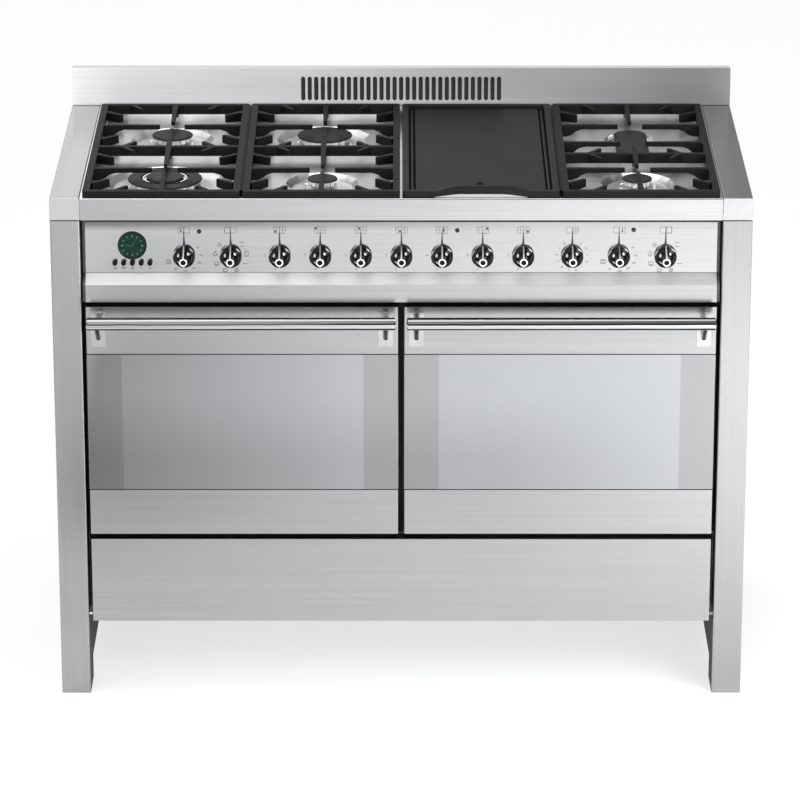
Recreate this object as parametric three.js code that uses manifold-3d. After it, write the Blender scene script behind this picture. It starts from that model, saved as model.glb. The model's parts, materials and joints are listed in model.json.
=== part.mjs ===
// Range cooker with double oven: a 120 cm stainless cooker on two front legs, with a four-section
// hob, a control panel, two drop-down oven doors and a storage compartment behind a flap.
// Millimetres, +Z up, x to the right. While the pieces are built, y = 0 is the plane of the legs'
// front faces and y grows to the back; the last step centres the cooker over the origin.

import * as THREE from 'three';
import { mergeVertices } from 'three/addons/utils/BufferGeometryUtils.js';
import Module from 'manifold-3d';

const wasm = await Module();
wasm.setup();

// ---------------------------------------------------------------------------------------------
// Driving dimensions

const overallWidth = 1200;
const bodyDepth = 600;
const hobHeight = 914;
const sheet = 1.5; // folded steel sheet
const seam = 0.3; // between pieces that rest on each other
const weldTolerance = 1e-4;
const overshoot = 1; // by which a cutting shape passes the surface it opens

// Legs, cheeks and hob rails
const legWidth = 51;
const legDepth = 80;
const legWall = 2;
const legPlug = 4;
const legBend = 3;
const legTopGap = 1.5; // shadow line under the rail's cap
const railHeight = 39;
const railBend = 2;
const cheekClearance = 42; // lower edge of the cheek above the floor
const rearLegDepth = 60;
const rearLegSplay = 25; // sloping shoulder in front of the rear leg

// Front
const frontSideGap = 6.5; // doors and flap to the legs
const doorGap = 10; // between the doors
const flapBottom = 138;
const flapHeight = 154;
const flapDepth = 30;
const flapStile = 20;
const flapDoorGap = 10;
const doorDepth = 42;
const doorPanelGap = 9;
const doorBend = 2;

// Control panel
const panelHeight = 99.7; // of the recessed face
const stripHeight = 31;
const ledgeRise = 16;
const panelRecess = 20;
const panelSideInset = 1; // to the doors' outer edges
const panelFlange = 60; // how far the panel's flanges reach back

// Upstand
const upstandRise = 71;
const upstandThickness = 15;
const upstandCorner = 4;
const ventCount = 31;
const ventPitch = 11.9;
const ventWidth = 7.5;
const ventHeight = 45;
const ventTopMargin = 17;
const ventCorner = 2.5;

// Hob top and its wells
const hobBend = 2.5;
const hobSideMargin = 5; // rail to the outer grates
const hobFrontMargin = 5;
const hobBackMargin = 27; // grates to the upstand
const hobRailGap = 0.5;
const sectionCount = 4;
const sectionGap = 4;
const wellDepth = 16;
const wellCorner = 12;
const dishDepth = 10; // round pressing under each burner
const dishSlope = 10;
const dishMargin = 22; // beyond the burner's base

// Grates and griddle plate
const grateRise = 11; // top of the grate above the worktop
const grateRim = 12;
const grateCorner = 5;
const lipInset = 5; // the lip that drops into the well
const lipDrop = 6;
const lipClearance = 2;
const crossbarWidth = 10;
const barHeight = 17;
const fingerRoot = 10;
const fingerTip = 6;
const fingerRootDepth = 21;
const fingerTipDepth = 8;
const fingerShoulder = 14; // deep part of a long finger
const fingerSweep = 28; // length of its curved underside
const fingerReach = 22; // from the burner's centre to the finger tips
const stubRootOffset = 88; // along the side bars, from the burner's centre
const stubTipOffset = 65;
const stubLength = 29; // across, from the side bar
const stubDepth = 14;
const raySpread = 80; // short fingers of the cross bars, from the burner's centre
const rayTipSpread = 60;
const rayLength = 30;
const griddleWall = 6;
const griddleSurfaceDrop = 4;
const griddleChannelWidth = 11;
const griddleChannelDepth = 3;
const griddleArchHalf = 84;
const griddleArchFlatHalf = 40;
const griddleArchRise = 9;
const griddleGripRise = 3;
const griddleSpoutInset = 4;
const griddleSpoutWidth = 26;
const griddleSpoutLength = 26;
const griddleSpoutDepth = 2.5;
const elementTube = 8;
const elementRuns = 6;
const elementMargin = 40;

// Burners: cap radius of each, and the shape they share
const burnerOffset = 135.5; // from the grate's middle to each burner
const auxiliaryRadius = 26.5;
const semiRapidRadius = 37;
const rapidRadius = 49.5;
const crownOuterRadius = 65;
const crownInnerRadius = 41;
const crownCapRadius = 33;
const fishWidth = 58;
const fishLength = 156;
const fishCorner = 24;
const fishOffset = 81.5; // from the grate's middle
const fishCrossbarOffset = 44.5; // before the grate's middle
const fishFingerSpread = 55;
const burnerTopDrop = 6; // cap top under the worktop level
const capThickness = 4;
const capBend = 1.5;
const crownHeight = 8;
const crownInset = 2;
const crownStep = 1.5;
const flamePorts = 18;
const flamePortDepth = 2.5;
const burnerFlange = 5;
const burnerNeck = 9;
const burnerFootHeight = 3;
const burnerFootSlope = 2;
const crownRoot = 1; // foot and crown overlap
const towerGap = 2; // tower to ring cap
const towerRecess = 1; // seat of the inner cap
const towerRim = 2;

// Control knobs, buttons and clock
const knobHeightAboveLedge = 30;
const knobSkirtRadius = 19;
const knobSkirt = 9;
const knobSkirtChamfer = 2;
const knobHubRadius = 11;
const knobNoseRadius = 7.5;
const knobReach = 40;
const knobStandOff = 0.6;
const knobShaftRadius = 4;
const knobShaftLength = 16;
const shaftClearance = 0.8;
const pointerThickness = 3.4;
const pointerOverhang = 2;
const tailInset = 1;
const bladeInset = 0.4; // behind the nose's face
const bladeRoot = 2; // from the knob's axis
const ovenKnobPitch = 80;
const ovenKnobOffset = 84; // from the last hob knob to the first oven knob
const clockSide = 88; // from the leg to the clock's middle
const clockKnobPitch = 88.7; // from the clock to the first knob
const lastKnobSide = 95.7; // from the last knob to the leg
const clockRadius = 25;
const clockBezel = 3;
const clockChamfer = 1;
const clockAboveLedge = 49;
const clockRise = 1.5;
const clockBody = 18;
const clockFit = 0.4;
const buttonCount = 5;
const buttonPitch = 15;
const buttonRadius = 4.3;
const buttonReach = 9;
const buttonTail = 8;
const buttonAboveLedge = 19;
const buttonFit = 0.5;
const buttonChamfer = 1;

// Doors
const glassTopBand = 85;
const glassBottomBand = 82;
const glassThickness = 4;
const windowMargin = 60;
const glassLedge = 8; // steel behind the upper and lower edge of the glass
const doorSkin = 6; // behind the glass
const doorSheet = 1.5; // bands and sides
const doorStile = 18.5;
const doorFoot = 24; // solid lower rail that carries the hinges
const doorLedgeThickness = 6; // back flange that carries the inner glass
const innerGlassFit = 1;
const innerGlassLedge = 6;
const handleReach = 60; // front of the handle before the legs' front plane
const handleRadius = 11;
const handleInset = 4.5; // handle end to door edge
const handleDrop = 14; // handle axis under the door's upper edge
const handlePostInset = 17;
const handlePostRadius = 5;
const handlePostDrop = 41;
const handlePlateWidth = 25;
const handlePlateHeight = 62;
const handlePlateThickness = 2.2;
const handlePlateFoot = 15.5; // post's foot to the plate's lower edge
const handleChamfer = 2;
const doorAxisDepth = 8;
const doorAxisRise = 8;

// Hinges
const hingePinRadius = 2.5;
const hingePinLength = 13;
const hingeBoreFit = 0.7;
const hingeEndFit = 1;
const hingeLugWidth = 6;
const hingeLugRadius = 4;
const hingeLugInset = 9.2; // door edge to the middle of the lug
const hingeSlotWidth = 8;
const hingeSlotRise = 7;
const hingeSlotFront = 1.5; // before the lug's round end
const flapAxisDepth = 6;
const flapAxisRise = 12;
const flapPinRadius = 3;
const flapPinRoot = 5;
const flapBoreFit = 0.6;

// Ovens
const flangeSetback = 3; // behind the closed doors
const ovenMouthSide = 53.75; // inside the door's side edges
const ovenMouthBottom = 48; // above the door's lower edge
const ovenMouthTop = 32; // under the door's upper edge
const ovenDepth = 430;
const ovenCorner = 14;
const sealWidth = 9;
const sealRise = 2.4;
const sealMargin = 5;
const flangeLap = 0.5; // seal and box overlap the flange
const runnerLevels = 4;
const runnerBottom = 58;
const runnerTop = 87; // highest runner under the oven's roof
const runnerHeight = 6;
const runnerReach = 9;
const runnerEndGap = 12;
const fanCoverRadius = 95;
const fanCoverRise = 12;
const fanCoverSlope = 8;
const fanVents = 8;
const fanVentSpan = [28, 72];
const fanVentWidth = 9;
const fanVentDepth = 4;
const rackWire = 3.2;
const rackFrame = 6;
const rackBars = 10;
const rackSides = 6;
const rackWireSides = 4;
const rackWireRise = 1;
const rackLevel = 1;
const rackSideGap = 3;
const rackFrontGap = 25;
const rackBackGap = 22;

// Storage compartment and back
const storageSetback = 38;
const storageHeadroom = 2; // its top under the flap's
const backRecess = 30;
const backSheet = 1.5;
const backBottom = 60;
const louvreCount = 7;
const louvrePitch = 22;
const louvreHeight = 6;
const louvreLength = 200;
const terminalBoxWidth = 150;
const terminalBoxHeight = 90;
const terminalBoxDepth = 22;
const terminalBoxSide = 169; // inside the cheek
const terminalBoxGap = 21; // under the louvres
const glandOverlap = 2;
const glandRadius = 9;
const glandLength = 14;
const gasInletSide = 119; // inside the cheek
const gasInletDrop = 74.7; // under the panel's upper edge
const gasInletRadius = 10.5;
const gasInletLength = 25;

// ---------------------------------------------------------------------------------------------
// Places that follow from them

const legInner = overallWidth / 2 - legWidth;
const fasciaBottom = hobHeight - railHeight;
const frontSpan = 2 * (legInner - frontSideGap);
const doorWidth = (frontSpan - doorGap) / 2;
const doorCentre = (doorWidth + doorGap) / 2;
const flapTop = flapBottom + flapHeight;
const doorBottom = flapTop + flapDoorGap;
const panelTop = fasciaBottom - seam;
const ledgeTop = panelTop - panelHeight;
const ledgeBottom = ledgeTop - ledgeRise;
const stripBottom = ledgeBottom - stripHeight;
const doorTop = stripBottom - doorPanelGap;
const flangeFront = doorDepth + flangeSetback;
const flangeBack = flangeFront + sheet;
const backPlane = bodyDepth - backRecess;
const sectionPitch = (2 * (legInner - hobSideMargin) + sectionGap) / sectionCount;
const sectionWidth = sectionPitch - sectionGap;
const sectionCentre = (index) => (index - (sectionCount - 1) / 2) * sectionPitch;
const grateFront = hobFrontMargin;
const grateBack = bodyDepth - upstandThickness - hobBackMargin;
const grateMiddle = (grateFront + grateBack) / 2;
const grateTop = hobHeight + grateRise;
const wellWidth = sectionWidth - 2 * (lipInset - lipClearance);
const wellLength = grateBack - grateFront - 2 * (lipInset - lipClearance);
const wellFloor = hobHeight - wellDepth;
const dishFloor = wellFloor - dishDepth;
const burnerTop = hobHeight - burnerTopDrop;
const frontBurnerY = grateMiddle - burnerOffset;
const backBurnerY = grateMiddle + burnerOffset;
const fishY = grateMiddle + fishOffset;
const knobHeight = ledgeTop + knobHeightAboveLedge;
const doorAxisHeight = doorBottom + doorAxisRise;
const flapAxisHeight = flapBottom + flapAxisRise;
const ovenMouth = [doorBottom + ovenMouthBottom, doorTop - ovenMouthTop];
const ovenBack = flangeBack + ovenDepth;
const storageTop = flapTop - storageHeadroom;
const ovenMouthWidth = doorWidth - 2 * ovenMouthSide;
const runnerRange = ovenMouth[1] - runnerTop - ovenMouth[0] - runnerBottom;
const runnerZ = (level) => ovenMouth[0] + runnerBottom
  + (level * runnerRange) / (runnerLevels - 1);

// ---------------------------------------------------------------------------------------------
// Geometry helpers

const xAxis = new THREE.Vector3(1, 0, 0);
const yAxis = new THREE.Vector3(0, 1, 0);
const zAxis = new THREE.Vector3(0, 0, 1);

function block([x0, x1], [y0, y1], [z0, z1]) {
  const geometry = new THREE.BoxGeometry(x1 - x0, y1 - y0, z1 - z0);
  return geometry.translate((x0 + x1) / 2, (y0 + y1) / 2, (z0 + z1) / 2);
}

// A range on one side of the middle: side is -1 on the left and 1 on the right.
function sideSpan(side, inner, outer) {
  return side > 0 ? [inner, outer] : [-outer, -inner];
}

function around(centre, half) {
  return [centre - half, centre + half];
}

function polygon(points) {
  return new THREE.Shape(points.map(([u, v]) => new THREE.Vector2(u, v)));
}

function roundedRect([u0, u1], [v0, v1], radius) {
  const shape = new THREE.Shape();
  const quarter = Math.PI / 2;
  shape.absarc(u1 - radius, v0 + radius, radius, -quarter, 0);
  shape.absarc(u1 - radius, v1 - radius, radius, 0, quarter);
  shape.absarc(u0 + radius, v1 - radius, radius, quarter, 2 * quarter);
  shape.absarc(u0 + radius, v0 + radius, radius, 2 * quarter, 3 * quarter);
  shape.closePath();
  return shape;
}

function clippedRect([u0, u1], [v0, v1], corner) {
  return polygon([
    [u0 + corner, v0],
    [u1 - corner, v0],
    [u1, v0 + corner],
    [u1, v1 - corner],
    [u1 - corner, v1],
    [u0 + corner, v1],
    [u0, v1 - corner],
    [u0, v0 + corner],
  ]);
}

function extrude(shape, depth, curveSegments) {
  return new THREE.ExtrudeGeometry(shape, { depth, curveSegments, bevelEnabled: false });
}

// An outline in (x, y), extruded from one height to another.
function upright(shape, [z0, z1], curveSegments = 1) {
  return extrude(shape, z1 - z0, curveSegments).translate(0, 0, z0);
}

// An outline in (y, z), extruded across the width.
function across(shape, [x0, x1], curveSegments = 1) {
  const turn = new THREE.Matrix4().makeBasis(yAxis, zAxis, xAxis);
  return extrude(shape, x1 - x0, curveSegments).applyMatrix4(turn).translate(x0, 0, 0);
}

// An outline in (x, z), extruded from front to back.
function alongDepth(shape, [y0, y1], curveSegments = 1) {
  const turn = new THREE.Matrix4().makeBasis(xAxis, zAxis, yAxis.clone().negate());
  return extrude(shape, y1 - y0, curveSegments).applyMatrix4(turn).translate(0, y1, 0);
}

// A profile of [radius, height] pairs, turned about the vertical, from the bottom up.
function turned(profile, segments) {
  const points = profile.map(([radius, height]) => new THREE.Vector2(radius, height));
  return new THREE.LatheGeometry(points, segments).rotateX(Math.PI / 2);
}

// The same about an axis that points to the front; heights count forwards from the plane y.
function turnedForward(profile, segments, x, y, z) {
  return turned(profile, segments).rotateX(Math.PI / 2).translate(x, y, z);
}

function rod(radius, from, to, sides) {
  const start = new THREE.Vector3(...from);
  const run = new THREE.Vector3(...to).sub(start);
  const geometry = new THREE.CylinderGeometry(radius, radius, run.length(), sides);
  geometry.translate(0, run.length() / 2, 0);
  const turn = new THREE.Quaternion().setFromUnitVectors(yAxis, run.clone().normalize());
  return geometry.applyQuaternion(turn).translate(start.x, start.y, start.z);
}

function solid(geometry) {
  const bare = geometry.clone();
  bare.deleteAttribute('normal');
  bare.deleteAttribute('uv');
  const merged = mergeVertices(bare, weldTolerance);
  const corners = merged.index.array;
  const triangles = [];
  for (let i = 0; i < corners.length; i += 3) {
    const [a, b, c] = [corners[i], corners[i + 1], corners[i + 2]];
    if (a !== b && b !== c && c !== a) triangles.push(a, b, c);
  }
  return new wasm.Manifold(new wasm.Mesh({
    numProp: 3,
    vertProperties: merged.attributes.position.array,
    triVerts: new Uint32Array(triangles),
  }));
}

function surface(manifold) {
  const mesh = manifold.getMesh();
  const geometry = new THREE.BufferGeometry();
  geometry.setAttribute('position', new THREE.BufferAttribute(mesh.vertProperties, mesh.numProp));
  geometry.setIndex(new THREE.BufferAttribute(mesh.triVerts, 1));
  return geometry;
}

function join(...pieces) {
  return surface(pieces.map(solid).reduce((sum, piece) => sum.add(piece)));
}

function cut(body, ...tools) {
  return surface(tools.map(solid).reduce((rest, tool) => rest.subtract(tool), solid(body)));
}

function common(one, other) {
  return surface(solid(one).intersect(solid(other)));
}

// ---------------------------------------------------------------------------------------------
// Finishes

const finishes = {
  brushedSteel: { color: 0xbcbec0, metalness: 0.9, roughness: 0.36 },
  polishedSteel: { color: 0xd2d4d6, metalness: 0.95, roughness: 0.16 },
  chrome: { color: 0xe6e8ea, metalness: 1, roughness: 0.06 },
  aluminium: { color: 0xb4b5b8, metalness: 0.85, roughness: 0.38 },
  castIron: { color: 0x2a2b2d, metalness: 0.1, roughness: 0.62 },
  capEnamel: { color: 0x1e1f20, metalness: 0, roughness: 0.48 },
  ovenEnamel: { color: 0x2c2e31, metalness: 0, roughness: 0.3 },
  galvanised: { color: 0x9a9ea1, metalness: 0.8, roughness: 0.5 },
  darkSteel: { color: 0x232426, metalness: 0.5, roughness: 0.5 },
  mirrorGlass: { color: 0xa3a8ab, metalness: 0.6, roughness: 0.08 },
  clearGlass: { color: 0xb8c4c2, metalness: 0, roughness: 0.05 },
  blackGloss: { color: 0x0c0c0d, metalness: 0, roughness: 0.12 },
  clockFace: { color: 0x12382f, metalness: 0, roughness: 0.15 },
};

const cooker = new THREE.Group();

function addPart(name, finish, geometry) {
  const mesh = new THREE.Mesh(geometry, new THREE.MeshStandardMaterial(finishes[finish]));
  mesh.name = name;
  cooker.add(mesh);
}

const sides = [
  { side: -1, name: 'left' },
  { side: 1, name: 'right' },
];

// ---------------------------------------------------------------------------------------------
// Legs, cheeks and rails

// Rectangular post, plugged at the foot and open at the top, with a hole for the flap's pin.
function frontLeg(side) {
  const span = sideSpan(side, legInner, overallWidth / 2);
  const bore = sideSpan(side, legInner - legWall, legInner + 2 * legWall);
  const inside = [span[0] + legWall, span[1] - legWall];
  return cut(
    upright(roundedRect(span, [0, legDepth], legBend), [0, fasciaBottom - legTopGap], 2),
    block(inside, [legWall, legDepth - legWall], [legPlug, hobHeight]),
    rod(flapPinRadius + flapBoreFit, [bore[0], flapAxisDepth, flapAxisHeight],
      [bore[1], flapAxisDepth, flapAxisHeight], 12),
  );
}

// Hollow cheek with a rear leg that reaches the floor, open at the top under the rail.
function cheek(side) {
  const front = legDepth + seam;
  const rearLeg = bodyDepth - rearLegDepth;
  const outline = (inset, top) => polygon([
    [front + inset, cheekClearance + inset],
    [rearLeg - rearLegSplay + inset, cheekClearance + inset],
    [rearLeg + inset, inset],
    [bodyDepth - inset, inset],
    [bodyDepth - inset, top],
    [front + inset, top],
  ]);
  const [inner, outer] = sideSpan(side, legInner, overallWidth / 2);
  return cut(
    across(outline(0, fasciaBottom - seam), [inner, outer]),
    across(outline(sheet, hobHeight), [inner + sheet, outer - sheet]),
  );
}

// Folded rail with a closed front cap, hollow from below.
function hobRail(side) {
  const [inner, outer] = sideSpan(side, legInner, overallWidth / 2);
  const r = railBend;
  const shape = new THREE.Shape();
  shape.moveTo(inner, fasciaBottom);
  shape.lineTo(outer, fasciaBottom);
  shape.lineTo(outer, hobHeight - r);
  shape.absarc(outer - r, hobHeight - r, r, 0, Math.PI / 2);
  shape.absarc(inner + r, hobHeight - r, r, Math.PI / 2, Math.PI);
  shape.closePath();
  return cut(
    alongDepth(shape, [0, bodyDepth]),
    block([inner + sheet, outer - sheet], [sheet, bodyDepth - sheet], [0, hobHeight - sheet]),
  );
}

for (const { side, name } of sides) {
  addPart(`front_leg_${name}`, 'brushedSteel', frontLeg(side));
  addPart(`side_cheek_${name}`, 'darkSteel', cheek(side));
  addPart(`hob_rail_${name}`, 'brushedSteel', hobRail(side));
}

// ---------------------------------------------------------------------------------------------
// Burners: where they sit and how they are built

const auxiliary = { radius: auxiliaryRadius, kind: 'round' };
const burners = [
  { name: 'front_left', section: 0, y: frontBurnerY, radius: crownOuterRadius, kind: 'crown' },
  { name: 'back_left', section: 0, y: backBurnerY, radius: semiRapidRadius, kind: 'round' },
  { name: 'front_middle', section: 1, y: frontBurnerY, ...auxiliary },
  { name: 'back_middle', section: 1, y: backBurnerY, radius: rapidRadius, kind: 'round' },
  { name: 'front_right', section: 3, y: frontBurnerY, ...auxiliary },
  { name: 'back_right', section: 3, y: fishY, radius: fishWidth / 2, kind: 'fish' },
];
for (const burner of burners) burner.x = sectionCentre(burner.section);

const bodyTop = burnerTop - capThickness - seam;
const bodyBottom = dishFloor + seam;
const crownBottom = bodyTop - crownHeight;

// Fluted outline of a burner crown: flame ports between ribs.
function flutedCircle(radius, ports) {
  const points = [];
  const step = (2 * Math.PI) / ports;
  for (let port = 0; port < ports; port += 1) {
    for (const [share, r] of [[0, radius], [0.5, radius - flamePortDepth]]) {
      const angle = (port + share) * step;
      points.push([r * Math.cos(angle), r * Math.sin(angle)]);
    }
  }
  return polygon(points);
}

function roundBody(radius, top) {
  const crown = radius - crownInset;
  const neck = Math.max(radius - burnerNeck, radius / 2);
  const foot = turned([
    [0, bodyBottom],
    [radius + burnerFlange, bodyBottom],
    [radius + burnerFlange - burnerFootSlope, bodyBottom + burnerFootHeight],
    [neck, bodyBottom + burnerFootHeight],
    [crown, crownBottom + crownRoot],
    [0, crownBottom + crownRoot],
  ], 16);
  const ports = Math.round(flamePorts * Math.sqrt(radius / rapidRadius));
  return join(foot, upright(flutedCircle(crown - crownStep, ports), [crownBottom, top]));
}

function discCap(radius, bottom) {
  return turned([
    [0, bottom],
    [radius - capBend / 2, bottom],
    [radius, bottom + capThickness / 2],
    [radius - capBend, bottom + capThickness - capBend / 3],
    [0, bottom + capThickness],
  ], 20);
}

// Ring cap of the triple crown, open in the middle for the inner crown.
function ringCap() {
  const bottom = bodyTop + seam;
  return turned([
    [crownInnerRadius, bottom],
    [crownOuterRadius - capBend / 2, bottom],
    [crownOuterRadius, bottom + capThickness / 2],
    [crownOuterRadius - capBend, bottom + capThickness - capBend / 3],
    [crownInnerRadius + capBend, bottom + capThickness],
    [crownInnerRadius, bottom + capThickness - capBend],
    [crownInnerRadius, bottom],
  ], 24);
}

// Triple crown: wide base with an outer fluted ring and a tower that carries the inner cap.
function crownBody() {
  const tower = crownInnerRadius - towerGap;
  const towerTop = bodyTop + capThickness;
  const well = turned([
    [0, towerTop - towerRecess],
    [crownCapRadius + towerRim, towerTop - towerRecess],
    [crownCapRadius + towerRim + 2 * towerRecess, towerTop + towerRecess],
    [0, towerTop + towerRecess],
  ], 20);
  return cut(join(
    roundBody(crownOuterRadius, bodyTop),
    turned([[0, crownBottom], [tower, crownBottom], [tower, towerTop], [0, towerTop]], 20),
  ), well);
}

function fishOutline(grow) {
  const half = fishWidth / 2 + grow;
  const long = fishLength / 2 + grow;
  return roundedRect([-half, half], [-long, long], fishCorner + grow);
}

function fishBody() {
  return join(
    upright(fishOutline(burnerFlange), [bodyBottom, bodyBottom + burnerFootHeight], 2),
    upright(fishOutline(-burnerNeck), [bodyBottom, bodyTop], 2),
    upright(fishOutline(-crownInset), [crownBottom, bodyTop], 2),
  );
}

function fishCap() {
  const options = {
    depth: capThickness - capBend,
    curveSegments: 3,
    bevelEnabled: true,
    bevelSegments: 1,
    bevelThickness: capBend,
    bevelSize: capBend,
    bevelOffset: -capBend,
  };
  const geometry = new THREE.ExtrudeGeometry(fishOutline(0), options);
  const under = bodyTop + seam;
  const keep = block(around(0, fishWidth), around(0, fishLength), [under, under + capThickness]);
  return common(geometry.translate(0, 0, under), keep);
}

for (const { name, x, y, radius, kind } of burners) {
  const body = { round: () => roundBody(radius, bodyTop), crown: crownBody, fish: fishBody }[kind]();
  addPart(`burner_body_${name}`, 'aluminium', body.translate(x, y, 0));
  if (kind === 'fish') addPart(`burner_cap_${name}`, 'capEnamel', fishCap().translate(x, y, 0));
  if (kind === 'round') {
    addPart(`burner_cap_${name}`, 'capEnamel', discCap(radius, bodyTop + seam).translate(x, y, 0));
  }
  if (kind === 'crown') {
    const inner = discCap(crownCapRadius, bodyTop + capThickness - towerRecess + seam);
    addPart(`burner_cap_${name}`, 'capEnamel', inner.translate(x, y, 0));
    addPart(`burner_ring_${name}`, 'capEnamel', ringCap().translate(x, y, 0));
  }
}

// ---------------------------------------------------------------------------------------------
// Hob top: worktop with front fascia, rear fold, four wells and a pressed dish under each burner

// The pressing under one burner; grow moves its wall outwards and its floor down.
function dish({ x, y, radius, kind }, grow) {
  const floor = dishFloor - grow;
  const top = wellFloor + (grow ? -grow / 2 : overshoot);
  const foot = radius + burnerFlange + dishMargin + grow;
  const run = dishSlope * ((top - floor) / dishDepth);
  if (kind !== 'fish') {
    const profile = [[0, floor], [foot, floor], [foot + run, top], [0, top]];
    return turned(profile, 16).translate(x, y, 0);
  }
  const outline = fishOutline(burnerFlange + dishMargin / 2 + grow);
  return upright(outline, [floor, top], 2).translate(x, y, 0);
}

function hobTop() {
  const edge = legInner - hobRailGap;
  const r = hobBend;
  const outline = new THREE.Shape();
  outline.moveTo(0, fasciaBottom);
  outline.lineTo(panelFlange / 2, fasciaBottom);
  outline.lineTo(panelFlange / 2, fasciaBottom + sheet);
  outline.lineTo(sheet, fasciaBottom + sheet);
  outline.lineTo(sheet, hobHeight - sheet);
  outline.lineTo(bodyDepth - sheet, hobHeight - sheet);
  outline.lineTo(bodyDepth - sheet, fasciaBottom);
  outline.lineTo(bodyDepth, fasciaBottom);
  outline.lineTo(bodyDepth, hobHeight);
  outline.lineTo(r, hobHeight);
  outline.absarc(r, hobHeight - r, r, Math.PI / 2, Math.PI);
  outline.closePath();
  const pieces = [across(outline, [-edge, edge], 2)];
  const hollows = [];
  for (let section = 0; section < sectionCount; section += 1) {
    const well = (grow) => roundedRect(
      around(sectionCentre(section), wellWidth / 2 + grow),
      around(grateMiddle, wellLength / 2 + grow),
      wellCorner + grow,
    );
    pieces.push(upright(well(sheet), [wellFloor - sheet, hobHeight - sheet / 2]));
    hollows.push(upright(well(0), [wellFloor, hobHeight + overshoot]));
  }
  for (const burner of burners) {
    pieces.push(dish(burner, sheet));
    hollows.push(dish(burner, 0));
  }
  return cut(join(...pieces), ...hollows);
}

addPart('hob_top', 'polishedSteel', hobTop());

// ---------------------------------------------------------------------------------------------
// Grates

// A cast finger from one point to another: tapered in plan, with a swept underside.
function finger([x0, y0], [x1, y1], { rootWidth, tipWidth, rootDepth, tipDepth, swept }) {
  const length = Math.hypot(x1 - x0, y1 - y0);
  const top = grateTop;
  const side = new THREE.Shape();
  side.moveTo(0, top - rootDepth);
  if (swept) {
    const bend = fingerShoulder + fingerSweep / 2;
    side.lineTo(fingerShoulder, top - rootDepth);
    side.bezierCurveTo(bend, top - rootDepth, bend, top - tipDepth,
      fingerShoulder + fingerSweep, top - tipDepth);
  }
  side.lineTo(length, top - tipDepth);
  side.lineTo(length, top);
  side.lineTo(0, top);
  side.closePath();
  const plan = polygon([
    [0, -rootWidth / 2],
    [length, -tipWidth / 2],
    [length, tipWidth / 2],
    [0, rootWidth / 2],
  ]);
  const bar = common(
    alongDepth(side, around(0, rootWidth), 3),
    upright(plan, [top - rootDepth - overshoot, top + overshoot]),
  );
  return bar.rotateZ(Math.atan2(y1 - y0, x1 - x0)).translate(x0, y0, 0);
}

const longFinger = {
  rootWidth: fingerRoot,
  tipWidth: fingerTip,
  rootDepth: fingerRootDepth,
  tipDepth: fingerTipDepth,
  swept: true,
};
const rayFinger = { ...longFinger, rootDepth: barHeight, swept: false };
const stub = { ...longFinger, rootDepth: barHeight, tipDepth: stubDepth, swept: false };

// Grate of one section, with a cell round each burner. A cell runs from its front to its back
// edge; fingers lists the depths of its side fingers. Stubs stand before (-1) and behind (1) the
// depth stubMiddle.
function grate(centre, cells) {
  const half = sectionWidth / 2;
  const inner = half - grateRim;
  const rootX = inner + grateRim / 2;
  const frame = (inset, corner, heights) => upright(
    roundedRect(around(centre, half - inset), [grateFront + inset, grateBack - inset], corner),
    heights,
  );
  const opening = block(
    around(centre, inner),
    [grateFront + grateRim, grateBack - grateRim],
    [0, grateTop + overshoot],
  );
  const lipBottom = hobHeight - lipDrop;
  const pieces = [cut(
    join(
      frame(0, grateCorner, [hobHeight + seam, grateTop]),
      frame(lipInset, wellCorner, [lipBottom, hobHeight + grateRise / 2]),
    ),
    opening,
  )];
  for (const { from, to, fingers, stubMiddle, stubs } of cells) {
    pieces.push(finger([centre, from], [centre, fingers[0] - fingerReach], longFinger));
    pieces.push(finger([centre, to], [centre, fingers.at(-1) + fingerReach], longFinger));
    for (const direction of [-1, 1]) {
      for (const y of fingers) {
        pieces.push(finger([centre + direction * rootX, y],
          [centre + direction * fingerReach, y], longFinger));
      }
      for (const [edge, step] of [[from, 1], [to, -1]]) {
        pieces.push(finger([centre + direction * raySpread, edge],
          [centre + direction * rayTipSpread, edge + step * rayLength], rayFinger));
      }
      for (const end of stubs) {
        pieces.push(finger([centre + direction * inner, stubMiddle + end * stubRootOffset],
          [centre + direction * (inner - stubLength), stubMiddle + end * stubTipOffset], stub));
      }
    }
  }
  for (const { to } of cells.slice(0, -1)) {
    pieces.push(block(around(centre, rootX), around(to, crossbarWidth / 2),
      [grateTop - barHeight, grateTop]));
  }
  return join(...pieces);
}

const grateOpening = [grateFront + grateRim / 2, grateBack - grateRim / 2];
const fishCrossbar = grateMiddle - fishCrossbarOffset;
const roundCell = (from, to, y) => ({ from, to, fingers: [y], stubMiddle: y, stubs: [-1, 1] });
const pairOfBurners = [
  roundCell(grateOpening[0], grateMiddle, frontBurnerY),
  roundCell(grateMiddle, grateOpening[1], backBurnerY),
];
const fishAndAuxiliary = [
  { ...roundCell(grateOpening[0], fishCrossbar, frontBurnerY), stubs: [-1] },
  {
    from: fishCrossbar,
    to: grateOpening[1],
    fingers: around(fishY, fishFingerSpread),
    stubMiddle: backBurnerY,
    stubs: [1],
  },
];
addPart('grate_1', 'castIron', grate(sectionCentre(0), pairOfBurners));
addPart('grate_2', 'castIron', grate(sectionCentre(1), pairOfBurners));
addPart('grate_4', 'castIron', grate(sectionCentre(3), fishAndAuxiliary));

// ---------------------------------------------------------------------------------------------
// Griddle plate and its heating element

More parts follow.
